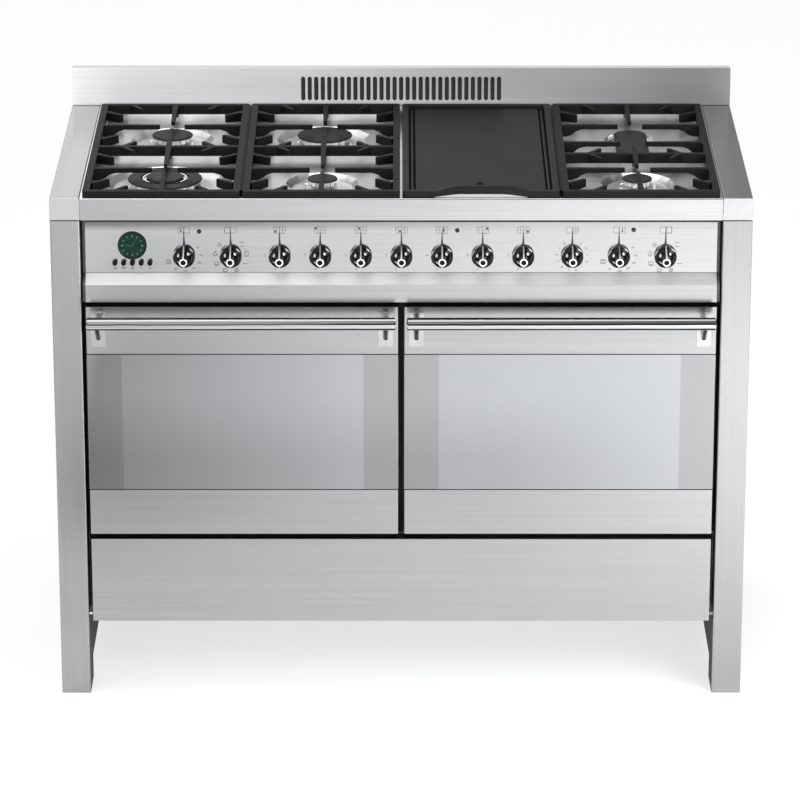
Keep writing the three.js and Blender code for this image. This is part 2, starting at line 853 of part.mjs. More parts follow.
// Arched outline of the front lip: flat in the middle, ramping down to both sides.
function archOutline(bottom, base, rise) {
  const shape = new THREE.Shape();
  const ramp = (griddleArchHalf + griddleArchFlatHalf) / 2;
  shape.moveTo(-griddleArchHalf, bottom);
  shape.lineTo(griddleArchHalf, bottom);
  shape.lineTo(griddleArchHalf, base);
  shape.bezierCurveTo(ramp, base, ramp, base + rise, griddleArchFlatHalf, base + rise);
  shape.lineTo(-griddleArchFlatHalf, base + rise);
  shape.bezierCurveTo(-ramp, base + rise, -ramp, base, -griddleArchHalf, base);
  shape.closePath();
  return shape;
}

function griddlePlate() {
  const half = sectionWidth / 2;
  const surfaceTop = grateTop - griddleSurfaceDrop;
  const underside = surfaceTop - griddleChannelDepth - griddleWall;
  const lipBottom = hobHeight - lipDrop;
  const inner = half - grateRim;
  const depth = (inset) => [grateFront + inset, grateBack - inset];
  const plate = (inset, corner, heights) => upright(
    roundedRect(around(0, half - inset), depth(inset), corner), heights);
  const pocket = block(around(0, inner), depth(grateRim), [surfaceTop, grateTop + overshoot]);
  const channelTop = [surfaceTop - griddleChannelDepth, grateTop];
  const channels = [-1, 1].map((side) => block(
    sideSpan(side, inner - griddleChannelWidth, inner), depth(grateRim), channelTop));
  const rearChannel = block(around(0, inner),
    [grateBack - grateRim - griddleChannelWidth, grateBack - grateRim], channelTop);
  const hollow = block(around(0, inner), depth(grateRim), [0, underside]);
  const spoutStart = grateFront + grateRim + griddleSpoutInset;
  const spout = upright(polygon([
    [-griddleSpoutWidth / 2, spoutStart],
    [griddleSpoutWidth / 2, spoutStart],
    [0, spoutStart + griddleSpoutLength],
  ]), [surfaceTop - griddleSpoutDepth, grateTop]);
  const arch = alongDepth(archOutline(surfaceTop, grateTop, griddleArchRise),
    [grateFront, grateFront + grateRim], 3);
  const grip = alongDepth(archOutline(hobHeight, hobHeight + seam, griddleGripRise),
    [0, grateFront + lipInset], 2);
  const body = cut(
    join(
      plate(0, grateCorner, [hobHeight + seam, grateTop]),
      plate(lipInset, wellCorner, [lipBottom, hobHeight + grateRise / 2]),
    ),
    pocket, ...channels, rearChannel, hollow, spout);
  return cut(join(body, arch), grip);
}

// Serpentine heating tube under the plate.
function griddleElement() {
  const z = (wellFloor + hobHeight - lipDrop) / 2;
  const halfWidth = sectionWidth / 2 - elementMargin;
  const pitch = (2 * halfWidth) / (elementRuns - 1);
  const front = grateFront + elementMargin;
  const back = grateBack - elementMargin;
  const radius = elementTube / 2;
  const pieces = [];
  for (let run = 0; run < elementRuns; run += 1) {
    const x = -halfWidth + run * pitch;
    pieces.push(rod(radius, [x, front, z], [x, back, z], 6));
    const y = run % 2 ? front : back;
    if (run < elementRuns - 1) {
      pieces.push(rod(radius, [x - radius, y, z], [x + pitch + radius, y, z], 6));
    }
  }
  return join(...pieces);
}

addPart('griddle_plate', 'castIron', griddlePlate().translate(sectionCentre(2), 0, 0));
addPart('griddle_element', 'darkSteel', griddleElement().translate(sectionCentre(2), 0, 0));

// ---------------------------------------------------------------------------------------------
// Upstand with its row of vents

function upstand() {
  const half = overallWidth / 2;
  const bottom = hobHeight + seam;
  const top = hobHeight + upstandRise;
  const front = bodyDepth - upstandThickness;
  const r = upstandCorner;
  const face = new THREE.Shape();
  face.moveTo(-half, bottom);
  face.lineTo(half, bottom);
  face.lineTo(half, top - r);
  face.absarc(half - r, top - r, r, 0, Math.PI / 2);
  face.absarc(-half + r, top - r, r, Math.PI / 2, Math.PI);
  face.closePath();
  const slots = [];
  for (let i = 0; i < ventCount; i += 1) {
    const x = (i - (ventCount - 1) / 2) * ventPitch;
    const heights = [top - ventTopMargin - ventHeight, top - ventTopMargin];
    const slot = clippedRect(around(x, ventWidth / 2), heights, ventCorner);
    slots.push(alongDepth(slot, [front - overshoot, front + sheet + overshoot]));
  }
  const hollow = block([-half + sheet, half - sheet], [front + sheet, bodyDepth - sheet],
    [0, top - sheet]);
  return cut(alongDepth(face, [front, bodyDepth]), hollow, ...slots);
}

addPart('upstand', 'brushedSteel', upstand());

// ---------------------------------------------------------------------------------------------
// Control panel, knobs, clock and timer buttons

const clockX = clockSide - legInner;
const leftOvenKnobs = [0, 1].map((i) => clockX + clockKnobPitch + i * ovenKnobPitch);
const rightOvenKnobs = [2, 1, 0].map((i) => legInner - lastKnobSide - i * ovenKnobPitch);
const firstHobKnob = leftOvenKnobs[1] + ovenKnobOffset;
const hobKnobRange = rightOvenKnobs[0] - ovenKnobOffset - firstHobKnob;
const hobKnobs = [0, 1, 2, 3, 4, 5, 6].map((i) => firstHobKnob + (i * hobKnobRange) / 6);
const knobPlaces = [
  ['knob_thermostat_left', leftOvenKnobs[0]],
  ['knob_function_left', leftOvenKnobs[1]],
  ['knob_burner_front_left', hobKnobs[0]],
  ['knob_burner_back_left', hobKnobs[1]],
  ['knob_burner_back_middle', hobKnobs[2]],
  ['knob_burner_front_middle', hobKnobs[3]],
  ['knob_griddle', hobKnobs[4]],
  ['knob_burner_back_right', hobKnobs[5]],
  ['knob_burner_front_right', hobKnobs[6]],
  ['knob_minute_timer', rightOvenKnobs[0]],
  ['knob_thermostat_right', rightOvenKnobs[1]],
  ['knob_function_right', rightOvenKnobs[2]],
];
const buttonPlaces = Array.from({ length: buttonCount },
  (_, i) => clockX + (i - (buttonCount - 1) / 2) * buttonPitch);

function controlPanel() {
  const t = sheet;
  const slope = Math.atan2(panelRecess, ledgeRise);
  const shift = t * Math.tan(slope / 2);
  const section = polygon([
    [panelFlange, panelTop],
    [panelRecess, panelTop],
    [panelRecess, ledgeTop],
    [0, ledgeBottom],
    [0, stripBottom],
    [panelFlange, stripBottom],
    [panelFlange, stripBottom + t],
    [t, stripBottom + t],
    [t, ledgeBottom - shift],
    [panelRecess + t, ledgeTop - shift],
    [panelRecess + t, panelTop - t],
    [panelFlange, panelTop - t],
  ].reverse());
  const half = frontSpan / 2 - panelSideInset;
  const hole = (radius, x, z, count) => rod(radius,
    [x, panelRecess - overshoot, z], [x, panelRecess + sheet + overshoot, z], count);
  return cut(
    across(section, [-half, half]),
    ...knobPlaces.map(([, x]) => hole(knobShaftRadius + shaftClearance, x, knobHeight, 8)),
    ...buttonPlaces.map((x) => hole(buttonRadius + buttonFit, x, ledgeTop + buttonAboveLedge, 10)),
    hole(clockRadius - clockBezel + clockFit, clockX, ledgeTop + clockAboveLedge, 20),
  );
}

addPart('control_panel', 'brushedSteel', controlPanel());

// Skirt, conical hub and nose, with a pointer blade up to the skirt's edge and a short tail.
function knob(x) {
  const skirtTop = knobStandOff + knobSkirt + knobSkirtChamfer;
  const body = turnedForward([
    [0, -knobShaftLength],
    [knobShaftRadius, -knobShaftLength],
    [knobShaftRadius, knobStandOff],
    [knobSkirtRadius, knobStandOff],
    [knobSkirtRadius, skirtTop - knobSkirtChamfer],
    [knobSkirtRadius - knobSkirtChamfer, skirtTop],
    [knobHubRadius, skirtTop],
    [knobNoseRadius, knobReach],
    [0, knobReach],
  ], 12, x, panelRecess, knobHeight);
  const blade = (direction, overhang, start) => across(polygon([
    [panelRecess - knobReach + bladeInset, knobHeight + direction * bladeRoot],
    [panelRecess - knobReach + bladeInset, knobHeight + direction * knobNoseRadius],
    [panelRecess - skirtTop, knobHeight + direction * (knobSkirtRadius + overhang)],
    [panelRecess - start, knobHeight + direction * (knobSkirtRadius + overhang)],
    [panelRecess - start, knobHeight + direction * bladeRoot],
  ]), around(x, pointerThickness / 2));
  const pointer = blade(1, pointerOverhang, skirtTop - knobSkirtChamfer);
  const tail = blade(-1, -tailInset, skirtTop - knobSkirtChamfer);
  return join(body, pointer, tail);
}

for (const [name, x] of knobPlaces) addPart(name, 'blackGloss', knob(x));

addPart('timer_clock', 'clockFace', turnedForward([
  [0, -clockBody],
  [clockRadius - clockBezel, -clockBody],
  [clockRadius - clockBezel, seam],
  [clockRadius, seam],
  [clockRadius, clockRise],
  [clockRadius - clockChamfer, clockRise + clockChamfer],
  [0, clockRise + clockChamfer],
], 24, clockX, panelRecess, ledgeTop + clockAboveLedge));

buttonPlaces.forEach((x, i) => addPart(`timer_button_${i + 1}`, 'blackGloss', turnedForward([
  [0, -buttonTail],
  [buttonRadius, -buttonTail],
  [buttonRadius, buttonReach - buttonChamfer],
  [buttonRadius - buttonChamfer, buttonReach],
  [0, buttonReach],
], 10, x, panelRecess, ledgeTop + buttonAboveLedge)));

// ---------------------------------------------------------------------------------------------
// Oven doors

const glassTop = doorTop - glassTopBand;
const glassBottom = doorBottom + glassBottomBand;
const lugPlaces = (centre) => [-1, 1].map((s) => centre + s * (doorWidth / 2 - hingeLugInset));

// Folded door body: a seat for the glass across its front, a window, and a hollow for the inner
// glass; notches at the lower back corners take the hinge lugs.
function doorFrame(centre) {
  const half = doorWidth / 2;
  const hollow = half - doorStile;
  const rebate = innerGlassLedge;
  const inside = [doorBottom + doorStile, doorTop - doorStile];
  const innerGlassFront = doorDepth - glassThickness - seam;
  const channelBack = innerGlassFront - doorLedgeThickness;
  const channelWidth = around(centre, half - 2 * doorSheet);
  const channelTop = doorTop - 2 * doorSheet;
  const notch = (x) => block(around(x, hingeSlotWidth / 2),
    [doorAxisDepth - hingeLugRadius - hingeSlotFront, doorDepth + overshoot],
    [doorBottom - overshoot, doorAxisHeight + hingeSlotRise]);
  const bore = (x) => rod(hingePinRadius + hingeBoreFit,
    [x - hingePinLength / 2 - hingeEndFit, doorAxisDepth, doorAxisHeight],
    [x + hingePinLength / 2 + hingeEndFit, doorAxisDepth, doorAxisHeight], 10);
  return cut(
    upright(roundedRect(around(centre, half), [0, doorDepth], doorBend), [doorBottom, doorTop]),
    block(around(centre, half + overshoot), [-overshoot, glassThickness + seam],
      [glassBottom - seam, glassTop + seam]),
    block(around(centre, half - windowMargin), [0, doorDepth],
      [glassBottom + glassLedge, glassTop - glassLedge]),
    block(around(centre, hollow), [doorSkin, doorDepth + overshoot], inside),
    block(channelWidth, [doorSkin, channelBack], [doorBottom + doorFoot, channelTop]),
    block(channelWidth, [doorSheet, doorSkin + overshoot], [glassTop + doorSkin, channelTop]),
    block(channelWidth, [doorSheet, doorSkin + overshoot],
      [doorBottom + doorFoot, glassBottom - doorSkin]),
    block(around(centre, hollow + rebate), [innerGlassFront, doorDepth + overshoot],
      [inside[0] - rebate, inside[1] + rebate]),
    ...lugPlaces(centre).map(notch),
    ...lugPlaces(centre).map(bore),
  );
}

function innerGlass(centre) {
  const half = doorWidth / 2 - doorStile + innerGlassLedge - innerGlassFit;
  const inset = doorStile - innerGlassLedge + innerGlassFit;
  return block(around(centre, half), [doorDepth - glassThickness, doorDepth],
    [doorBottom + inset, doorTop - inset]);
}

// Tube on two inclined posts, each on its own small plate.
function doorHandle(centre) {
  const half = doorWidth / 2 - handleInset;
  const z = doorTop - handleDrop;
  const y = handleRadius - handleReach;
  const foot = z - handlePostDrop;
  const plateBottom = foot - handlePlateFoot;
  const bend = handleRadius - handleChamfer;
  const tube = turned([
    [0, -half],
    [bend, -half],
    [handleRadius, -half + handleChamfer],
    [handleRadius, half - handleChamfer],
    [bend, half],
    [0, half],
  ], 16).rotateY(Math.PI / 2).translate(centre, y, z);
  const pieces = [tube];
  for (const side of [-1, 1]) {
    const x = centre + side * (half - handlePostInset);
    pieces.push(rod(handlePostRadius, [x, -seam - handlePlateThickness / 2, foot], [x, y, z], 10));
    pieces.push(block(around(x, handlePlateWidth / 2), [-seam - handlePlateThickness, -seam],
      [plateBottom, plateBottom + handlePlateHeight]));
  }
  const reach = block(around(centre, doorWidth), [-2 * handleReach, -seam], [0, 2 * doorTop]);
  return common(join(...pieces), reach);
}

for (const { side, name } of sides) {
  const centre = side * doorCentre;
  addPart(`door_frame_${name}`, 'brushedSteel', doorFrame(centre));
  addPart(`door_glass_${name}`, 'mirrorGlass', block(around(centre, doorWidth / 2),
    [0, glassThickness], [glassBottom, glassTop]));
  addPart(`door_inner_glass_${name}`, 'clearGlass', innerGlass(centre));
  addPart(`door_handle_${name}`, 'chrome', doorHandle(centre));
}

// ---------------------------------------------------------------------------------------------
// Oven cavities and racks

// Enamelled box behind a front flange that carries the door seal and the hinge lugs.
function ovenCavity(side) {
  const centre = side * doorCentre;
  const half = ovenMouthWidth / 2;
  const mouth = (grow) => roundedRect(around(centre, half + grow),
    [ovenMouth[0] - grow, ovenMouth[1] + grow], ovenCorner + grow);
  const flange = block(sideSpan(side, seam / 2, legInner - seam), [flangeFront, flangeBack],
    [storageTop + seam, stripBottom - seam]);
  const box = alongDepth(mouth(sheet), [flangeFront + flangeLap, ovenBack + sheet]);
  const seal = cut(
    alongDepth(mouth(sealMargin + sealWidth), [flangeFront - sealRise, flangeFront + flangeLap]),
    alongDepth(mouth(sealMargin), [0, flangeBack]),
  );
  const hollow = alongDepth(mouth(0), [0, ovenBack]);
  const runners = [];
  for (let level = 0; level < runnerLevels; level += 1) {
    for (const wall of [-1, 1]) {
      const [inner, outer] = sideSpan(wall, half - runnerReach, half + sheet / 2);
      runners.push(block([centre + inner, centre + outer],
        [flangeBack + runnerEndGap, ovenBack - runnerEndGap],
        around(runnerZ(level), runnerHeight / 2)));
    }
  }
  const middle = (ovenMouth[0] + ovenMouth[1]) / 2;
  const cover = cut(turnedForward([
    [0, -sheet / 2],
    [fanCoverRadius, -sheet / 2],
    [fanCoverRadius - fanCoverSlope, fanCoverRise],
    [0, fanCoverRise],
  ], 20, centre, ovenBack, middle), ...Array.from({ length: fanVents }, (_, i) => {
    const slot = block(fanVentSpan, [-fanCoverRise - overshoot, fanVentDepth - fanCoverRise],
      around(0, fanVentWidth / 2));
    return slot.rotateY((i * 2 * Math.PI) / fanVents).translate(centre, ovenBack, middle);
  }));
  const lugs = lugPlaces(centre).map((x) => {
    const r = hingeLugRadius;
    const shape = new THREE.Shape();
    shape.moveTo(flangeBack, doorAxisHeight - r);
    shape.lineTo(flangeBack, doorAxisHeight + r);
    shape.lineTo(doorAxisDepth, doorAxisHeight + r);
    shape.absarc(doorAxisDepth, doorAxisHeight, r, Math.PI / 2, 1.5 * Math.PI);
    shape.closePath();
    return join(
      across(shape, around(x, hingeLugWidth / 2), 2),
      rod(hingePinRadius, [x - hingePinLength / 2, doorAxisDepth, doorAxisHeight],
        [x + hingePinLength / 2, doorAxisDepth, doorAxisHeight], 10),
    );
  });
  return join(cut(join(flange, box, seal), hollow), ...runners, cover, ...lugs);
}

// Wire rack on the runners of one level: a frame of thick wire and thin bars front to back.
function ovenRack(centre) {
  const half = ovenMouthWidth / 2 - rackSideGap;
  const z = runnerZ(rackLevel) + runnerHeight / 2 + rackFrame / 2 + seam;
  const front = flangeBack + rackFrontGap;
  const back = ovenBack - rackBackGap;
  const r = rackFrame / 2;
  const inner = half - r;
  const pieces = [];
  for (const x of [-inner, inner]) {
    pieces.push(rod(r, [centre + x, front, z], [centre + x, back, z], rackSides));
  }
  for (const y of [front + r, back - r]) {
    pieces.push(rod(r, [centre - half, y, z], [centre + half, y, z], rackSides));
  }
  const pitch = (2 * inner) / (rackBars + 1);
  for (let bar = 1; bar <= rackBars; bar += 1) {
    const x = centre - inner + bar * pitch;
    pieces.push(rod(rackWire / 2, [x, front + r, z + rackWireRise], [x, back - r, z + rackWireRise],
      rackWireSides));
  }
  return join(...pieces);
}

for (const { side, name } of sides) {
  addPart(`oven_cavity_${name}`, 'ovenEnamel', ovenCavity(side));
  addPart(`oven_rack_${name}`, 'chrome', ovenRack(side * doorCentre));
}

// ---------------------------------------------------------------------------------------------
// Storage compartment, its flap and the back panel

function storageCompartment() {
  const half = legInner - seam;
  const bottom = flapAxisHeight - sheet;
  return cut(
    block([-half, half], [storageSetback, backPlane - seam], [bottom, storageTop]),
    block([-half + sheet, half - sheet], [0, backPlane - seam - sheet],
      [bottom + sheet, storageTop - sheet]),
  );
}

// Folded tray with a pivot pin at each lower corner.
function storageFlap() {
  const half = frontSpan / 2;
  const tray = cut(
    upright(roundedRect([-half, half], [0, flapDepth], doorBend), [flapBottom, flapTop]),
    block([-half + flapStile, half - flapStile], [sheet, flapDepth + overshoot],
      [flapBottom + sheet, flapTop - sheet]),
  );
  const pinEnd = legInner + legWall;
  const pins = [-1, 1].map((side) => {
    const [from, to] = sideSpan(side, half - flapPinRoot, pinEnd);
    return rod(flapPinRadius, [from, flapAxisDepth, flapAxisHeight],
      [to, flapAxisDepth, flapAxisHeight], 12);
  });
  return join(tray, ...pins);
}

// Back panel between the cheeks, with louvres, the terminal box and the gas inlet.
function backPanel() {
  const half = legInner - seam;
  const panel = block([-half, half], [backPlane, backPlane + backSheet],
    [backBottom, panelTop]);
  const louvres = [];
  for (const x of [-half / 2, half / 2]) {
    for (let i = 0; i < louvreCount; i += 1) {
      const z = ovenMouth[1] - i * louvrePitch;
      louvres.push(block(around(x, louvreLength / 2), [backPlane - overshoot, bodyDepth],
        around(z, louvreHeight / 2)));
    }
  }
  const boxBack = backPlane + backSheet + terminalBoxDepth;
  const boxTop = ovenMouth[1] - (louvreCount - 1) * louvrePitch - louvreHeight / 2 - terminalBoxGap;
  const boxBottom = boxTop - terminalBoxHeight;
  const terminalBoxX = terminalBoxSide - legInner;
  const box = block(around(terminalBoxX, terminalBoxWidth / 2),
    [backPlane + backSheet / 2, boxBack], [boxBottom, boxTop]);
  const glandY = boxBack - terminalBoxDepth / 2;
  const gland = rod(glandRadius, [terminalBoxX, glandY, boxBottom + glandOverlap],
    [terminalBoxX, glandY, boxBottom - glandLength], 12);
  const inletX = legInner - gasInletSide;
  const inletZ = panelTop - gasInletDrop;
  const inlet = rod(gasInletRadius, [inletX, backPlane + backSheet / 2, inletZ],
    [inletX, backPlane + gasInletLength, inletZ], 16);
  return join(cut(panel, ...louvres), box, gland, inlet);
}

addPart('storage_compartment', 'galvanised', storageCompartment());
addPart('storage_flap', 'brushedSteel', storageFlap());
addPart('back_panel', 'galvanised', backPanel());

// The handles stand before the legs, so the middle of the whole depth lies in front of the body's.
cooker.position.y = -(bodyDepth - handleReach) / 2;

export default cooker;
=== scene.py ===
"""Looks of a range cooker with double oven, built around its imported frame.

Metres, +Z up, the front faces -Y. Sizes repeat those of the part's source.
"""

import json
import math

import bmesh
import bpy
from mathutils import Matrix, Vector

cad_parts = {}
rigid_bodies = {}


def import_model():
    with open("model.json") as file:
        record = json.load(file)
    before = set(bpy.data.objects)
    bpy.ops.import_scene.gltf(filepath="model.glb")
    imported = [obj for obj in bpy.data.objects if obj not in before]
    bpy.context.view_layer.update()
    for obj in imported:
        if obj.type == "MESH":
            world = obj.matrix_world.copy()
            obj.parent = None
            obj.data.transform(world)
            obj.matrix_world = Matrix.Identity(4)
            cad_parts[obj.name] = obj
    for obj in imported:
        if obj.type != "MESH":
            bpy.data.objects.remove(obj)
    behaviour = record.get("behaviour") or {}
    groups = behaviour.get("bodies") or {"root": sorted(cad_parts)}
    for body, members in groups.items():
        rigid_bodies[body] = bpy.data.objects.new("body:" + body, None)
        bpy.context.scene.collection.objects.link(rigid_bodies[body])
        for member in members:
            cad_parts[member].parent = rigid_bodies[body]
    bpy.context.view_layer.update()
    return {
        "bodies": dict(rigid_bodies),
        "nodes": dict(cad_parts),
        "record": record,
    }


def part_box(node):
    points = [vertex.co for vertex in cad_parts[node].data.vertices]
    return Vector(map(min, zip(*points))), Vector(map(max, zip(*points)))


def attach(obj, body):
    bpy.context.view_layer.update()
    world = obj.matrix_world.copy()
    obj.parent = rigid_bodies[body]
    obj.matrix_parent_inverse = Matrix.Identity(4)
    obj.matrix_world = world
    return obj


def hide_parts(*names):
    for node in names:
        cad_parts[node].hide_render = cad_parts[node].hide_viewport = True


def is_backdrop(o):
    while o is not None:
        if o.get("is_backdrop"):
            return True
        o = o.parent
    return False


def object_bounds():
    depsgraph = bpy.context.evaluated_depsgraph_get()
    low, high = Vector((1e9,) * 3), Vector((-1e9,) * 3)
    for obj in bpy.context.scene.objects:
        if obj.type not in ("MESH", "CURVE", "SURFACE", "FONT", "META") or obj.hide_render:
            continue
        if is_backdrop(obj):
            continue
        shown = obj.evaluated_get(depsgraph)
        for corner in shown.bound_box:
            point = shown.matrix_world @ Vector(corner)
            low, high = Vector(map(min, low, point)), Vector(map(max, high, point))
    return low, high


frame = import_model()

# ---- Places, in the row frame

MM = 0.001
PANEL_Y = -0.250
KNOB_Z = 0.805
CLOCK_X, CLOCK_Z = -0.461, 0.824
BUTTON_Z = 0.794
DOOR_X = 0.27375
DOOR_HALF = 0.26875
GLASS_LOW, GLASS_HIGH = 0.384, 0.634
GLASS_MARGIN = 0.060

# ---- Camera

CAMERA_PLACE = (-0.002, -7.607, 3.141)
CAMERA_PITCH = math.radians(19.45)  # down from level
CAMERA_LENS = 202.4
CAMERA_SENSOR = 36.0
CAMERA_CLIP = (0.1, 100)

camera_data = bpy.data.cameras.new("camera")
camera_data.lens = CAMERA_LENS
camera_data.sensor_width = CAMERA_SENSOR
camera_data.clip_start, camera_data.clip_end = CAMERA_CLIP
camera = bpy.data.objects.new("camera", camera_data)
camera.location = CAMERA_PLACE
camera.rotation_euler = (math.pi / 2 - CAMERA_PITCH, 0, 0)
bpy.context.scene.collection.objects.link(camera)
bpy.context.scene.camera = camera
bpy.context.scene.view_settings.view_transform = "Standard"

# ---- Materials

LOOKS = {}  # each material by its name
MIX_FACTOR, MIX_FIRST, MIX_SECOND, MIX_RESULT = 0, 6, 7, 2  # a Mix node's sockets for colours


def toned(color, share):
    return tuple(share * part for part in color)


def steel(tone):
    """A slightly cool grey."""
    return (tone, tone + 0.005, tone + 0.010)


class Nodes:
    """Makes and links the nodes of one tree."""

    def __init__(self, tree):
        self.tree = tree

    def node(self, kind, **settings):
        node = self.tree.nodes.new(kind)
        for key, value in settings.items():
            setattr(node, key, value)
        return node

    def feed(self, source, socket):
        """Sets a socket to a number or a colour, or links an output to it."""
        if isinstance(source, (int, float)):
            socket.default_value = source
        elif isinstance(source, tuple):
            socket.default_value = (*source, 1)
        else:
            self.tree.links.new(source, socket)

    def split(self, vector):
        """The X, Y and Z of a vector."""
        parts = self.node("ShaderNodeSeparateXYZ")
        self.feed(vector, parts.inputs["Vector"])
        return parts.outputs

    def math(self, operation, *values):
        node = self.node("ShaderNodeMath", operation=operation)
        for value, socket in zip(values, node.inputs):
            self.feed(value, socket)
        return node.outputs[0]

    def ranged(self, value, low, high, start=0.0, end=1.0, **settings):
        """Low to high as a value goes from start to end."""
        mapped = self.node("ShaderNodeMapRange", **settings)
        for socket, source in (("Value", value), ("From Min", start), ("From Max", end),
                               ("To Min", low), ("To Max", high)):
            self.feed(source, mapped.inputs[socket])
        return mapped.outputs["Result"]


class Look(Nodes):
    """A Principled material whose colour, roughness and relief come from nodes."""

    def __init__(self, name, color, metallic=0.0, roughness=0.5, **constants):
        self.material = bpy.data.materials.new(name)
        self.material.use_nodes = True
        super().__init__(self.material.node_tree)
        LOOKS[name] = self.material
        self.shader = self.tree.nodes["Principled BSDF"]
        self.color = color
        self.bump = None
        constants.update(Base_Color=(*color, 1), Metallic=metallic, Roughness=roughness)
        for socket, value in constants.items():
            self.shader.inputs[socket.replace("_", " ")].default_value = value
        coordinates = self.node("ShaderNodeTexCoord")
        self.place = coordinates.outputs["Object"]
        self.normal = coordinates.outputs["Normal"]

    def noise(self, scale, detail=3.0, stretch=(1, 1, 1), rough=0.55):
        """Cloudy noise of the place, which is first multiplied by a factor along each axis."""
        mapping = self.node("ShaderNodeMapping")
        mapping.inputs["Scale"].default_value = stretch
        self.feed(self.place, mapping.inputs["Vector"])
        noise = self.node("ShaderNodeTexNoise")
        for socket, value in (("Vector", mapping.outputs["Vector"]), ("Scale", scale),
                              ("Detail", detail), ("Roughness", rough)):
            self.feed(value, noise.inputs[socket])
        return noise.outputs["Fac"]

    def cells(self, scale, output="Color"):
        cells = self.node("ShaderNodeTexVoronoi")
        self.feed(scale, cells.inputs["Scale"])
        self.feed(self.place, cells.inputs["Vector"])
        return cells.outputs[output]

    def vary_roughness(self, value, low, high, start=0.3, end=0.7):
        self.feed(self.ranged(value, low, high, start, end), self.shader.inputs["Roughness"])

    def mix(self, factor, first, second, blend="MIX"):
        """A colour from two, each a tuple or an output."""
        mix = self.node("ShaderNodeMix", data_type="RGBA", blend_type=blend)
        for source, index in ((factor, MIX_FACTOR), (first, MIX_FIRST), (second, MIX_SECOND)):
            self.feed(source, mix.inputs[index])
        return mix.outputs[MIX_RESULT]

    def vary_color(self, value, other, start=0.3, end=0.7):
        """Towards another colour as a value goes from start to end."""
        base = self.shader.inputs["Base Color"]
        first = base.links[0].from_socket if base.links else self.color
        self.feed(self.mix(self.ranged(value, 0, 1, start, end), first, other), base)

    def relief(self, height, distance):
        bump = self.node("ShaderNodeBump")
        self.feed(1.0, bump.inputs["Strength"])
        self.feed(distance, bump.inputs["Distance"])
        self.feed(height, bump.inputs["Height"])
        if self.bump:
            self.feed(self.bump, bump.inputs["Normal"])
        self.bump = bump.outputs["Normal"]
        self.feed(self.bump, self.shader.inputs["Normal"])


GRAIN_TILT = (0.02, 0.03, 0.01)  # keeps the grain off every face's normal
GRAIN_TURN = 0.25
GRAIN_DEPTH = 0.000008


def brushed(name, color, roughness, along, spread=0.7, metallic=1.0, shaded=None):
    """Steel with a fine straight grain along one axis and a faint uneven polish."""
    look = Look(name, color, metallic, roughness, Anisotropic=spread,
                Anisotropic_Rotation=GRAIN_TURN)
    tangent = look.node("ShaderNodeCombineXYZ")
    for axis, part in zip("xyz", GRAIN_TILT):
        tangent.inputs[axis.upper()].default_value = 1.0 if axis == along else part
    look.feed(tangent.outputs["Vector"], look.shader.inputs["Tangent"])

    def drawn(scale, share, detail=3.0, rough=0.55):
        """Noise drawn out along the grain."""
        stretch = tuple(share if axis == along else 1.0 for axis in "xyz")
        return look.noise(scale, detail, stretch, rough)

    fine = drawn(900, 0.012, 4, 0.7)
    for value, share, start, end in ((fine, 0.90, 0.35, 0.7),
                                     (drawn(260, 0.008, rough=0.6), 0.88, 0.42, 0.62),
                                     (look.noise(3.0, 2), 0.97, 0.3, 0.9)):
        look.vary_color(value, toned(color, share), start, end)
    # Painted light and shade, where the look is given them
    if shaded:
        shaded(look)
    look.vary_roughness(drawn(45, 0.02), roughness - 0.015, roughness + 0.02)
    look.relief(fine, GRAIN_DEPTH)


def graded(*stops):
    """Painted light and shade: the colour times a share that changes along X between stops of
    (place, share of the colour).
    """
    def shaded(look):
        x, _, _ = look.split(look.place)
        base = look.shader.inputs["Base Color"]
        for (start, low), (end, high) in zip(stops, stops[1:]):
            light_share = look.ranged(x, low, high, start, end)
            look.feed(look.mix(1, base.links[0].from_socket, light_share, "MULTIPLY"), base)
    return shaded


def under_fascia(look):
    """Painted shade: the panel is darker close below the fascia, most of all at its left."""
    x, _, z = look.split(look.place)
    shade_share = look.math("MULTIPLY", look.ranged(z, 0, 1, 0.850, 0.862),
                     look.ranged(x, 1, 0.2, -0.5, 0.25))
    look.vary_color(shade_share, toned(look.color, 0.40), 0, 1)


def skinned(name, color, roughness, skin, tone=None, polish=None, grain=None, **constants):
    """A finish whose tone, polish and relief follow one noise, given by its values."""
    look = Look(name, color, roughness=roughness, **constants)
    value = look.noise(*skin)
    if polish:
        look.vary_roughness(value, *polish)
    if tone:
        look.vary_color(value, *tone)
    if grain:
        look.relief(value, grain)
    return look


def cast(name, color, roughness, grain, scale=700, **constants):
    """Enamelled casting: matt, with a fine orange peel."""
    look = skinned(name, color, roughness, (scale, 5, (1, 1, 1), 0.6),
                   polish=(roughness - 0.1, roughness + 0.12), grain=grain, **constants)
    look.vary_color(look.noise(18), toned(color, 1.5), 0.35, 0.75)


def polished(name, color, roughness):
    """Chrome and other bright metal, with faint wipe marks."""
    skinned(name, color, roughness, (25, 4, (1, 0.2, 1)), (toned(color, 0.95), 0.4, 0.8),
            (roughness * 0.7, roughness * 1.6), metallic=1.0)


FLOW = (90, 3)  # in the skin of moulded plastic
FLOW_GRAIN = 0.00002


def glossy(name, color, roughness, **constants):
    """Moulded gloss plastic with a trace of flow in its skin."""
    skinned(name, color, roughness, FLOW,
            (tuple(1.6 * part + 0.002 for part in color), 0.45, 0.9),
            (roughness * 0.7, roughness * 1.5), FLOW_GRAIN, **constants)


# Painted reflections: bands along a handle, as (the normal's height, share of the colour)
HANDLE_PAINTED_REFLECTIONS = (
    (-0.85, 0.06), (-0.56, 0.06), (-0.46, 0.95), (0.06, 0.95), (0.12, 0.07), (0.32, 0.07),
    (0.38, 0.70), (0.66, 0.52), (0.74, 0.38), (0.84, 0.62), (0.935, 0.62), (0.965, 0.08),
)
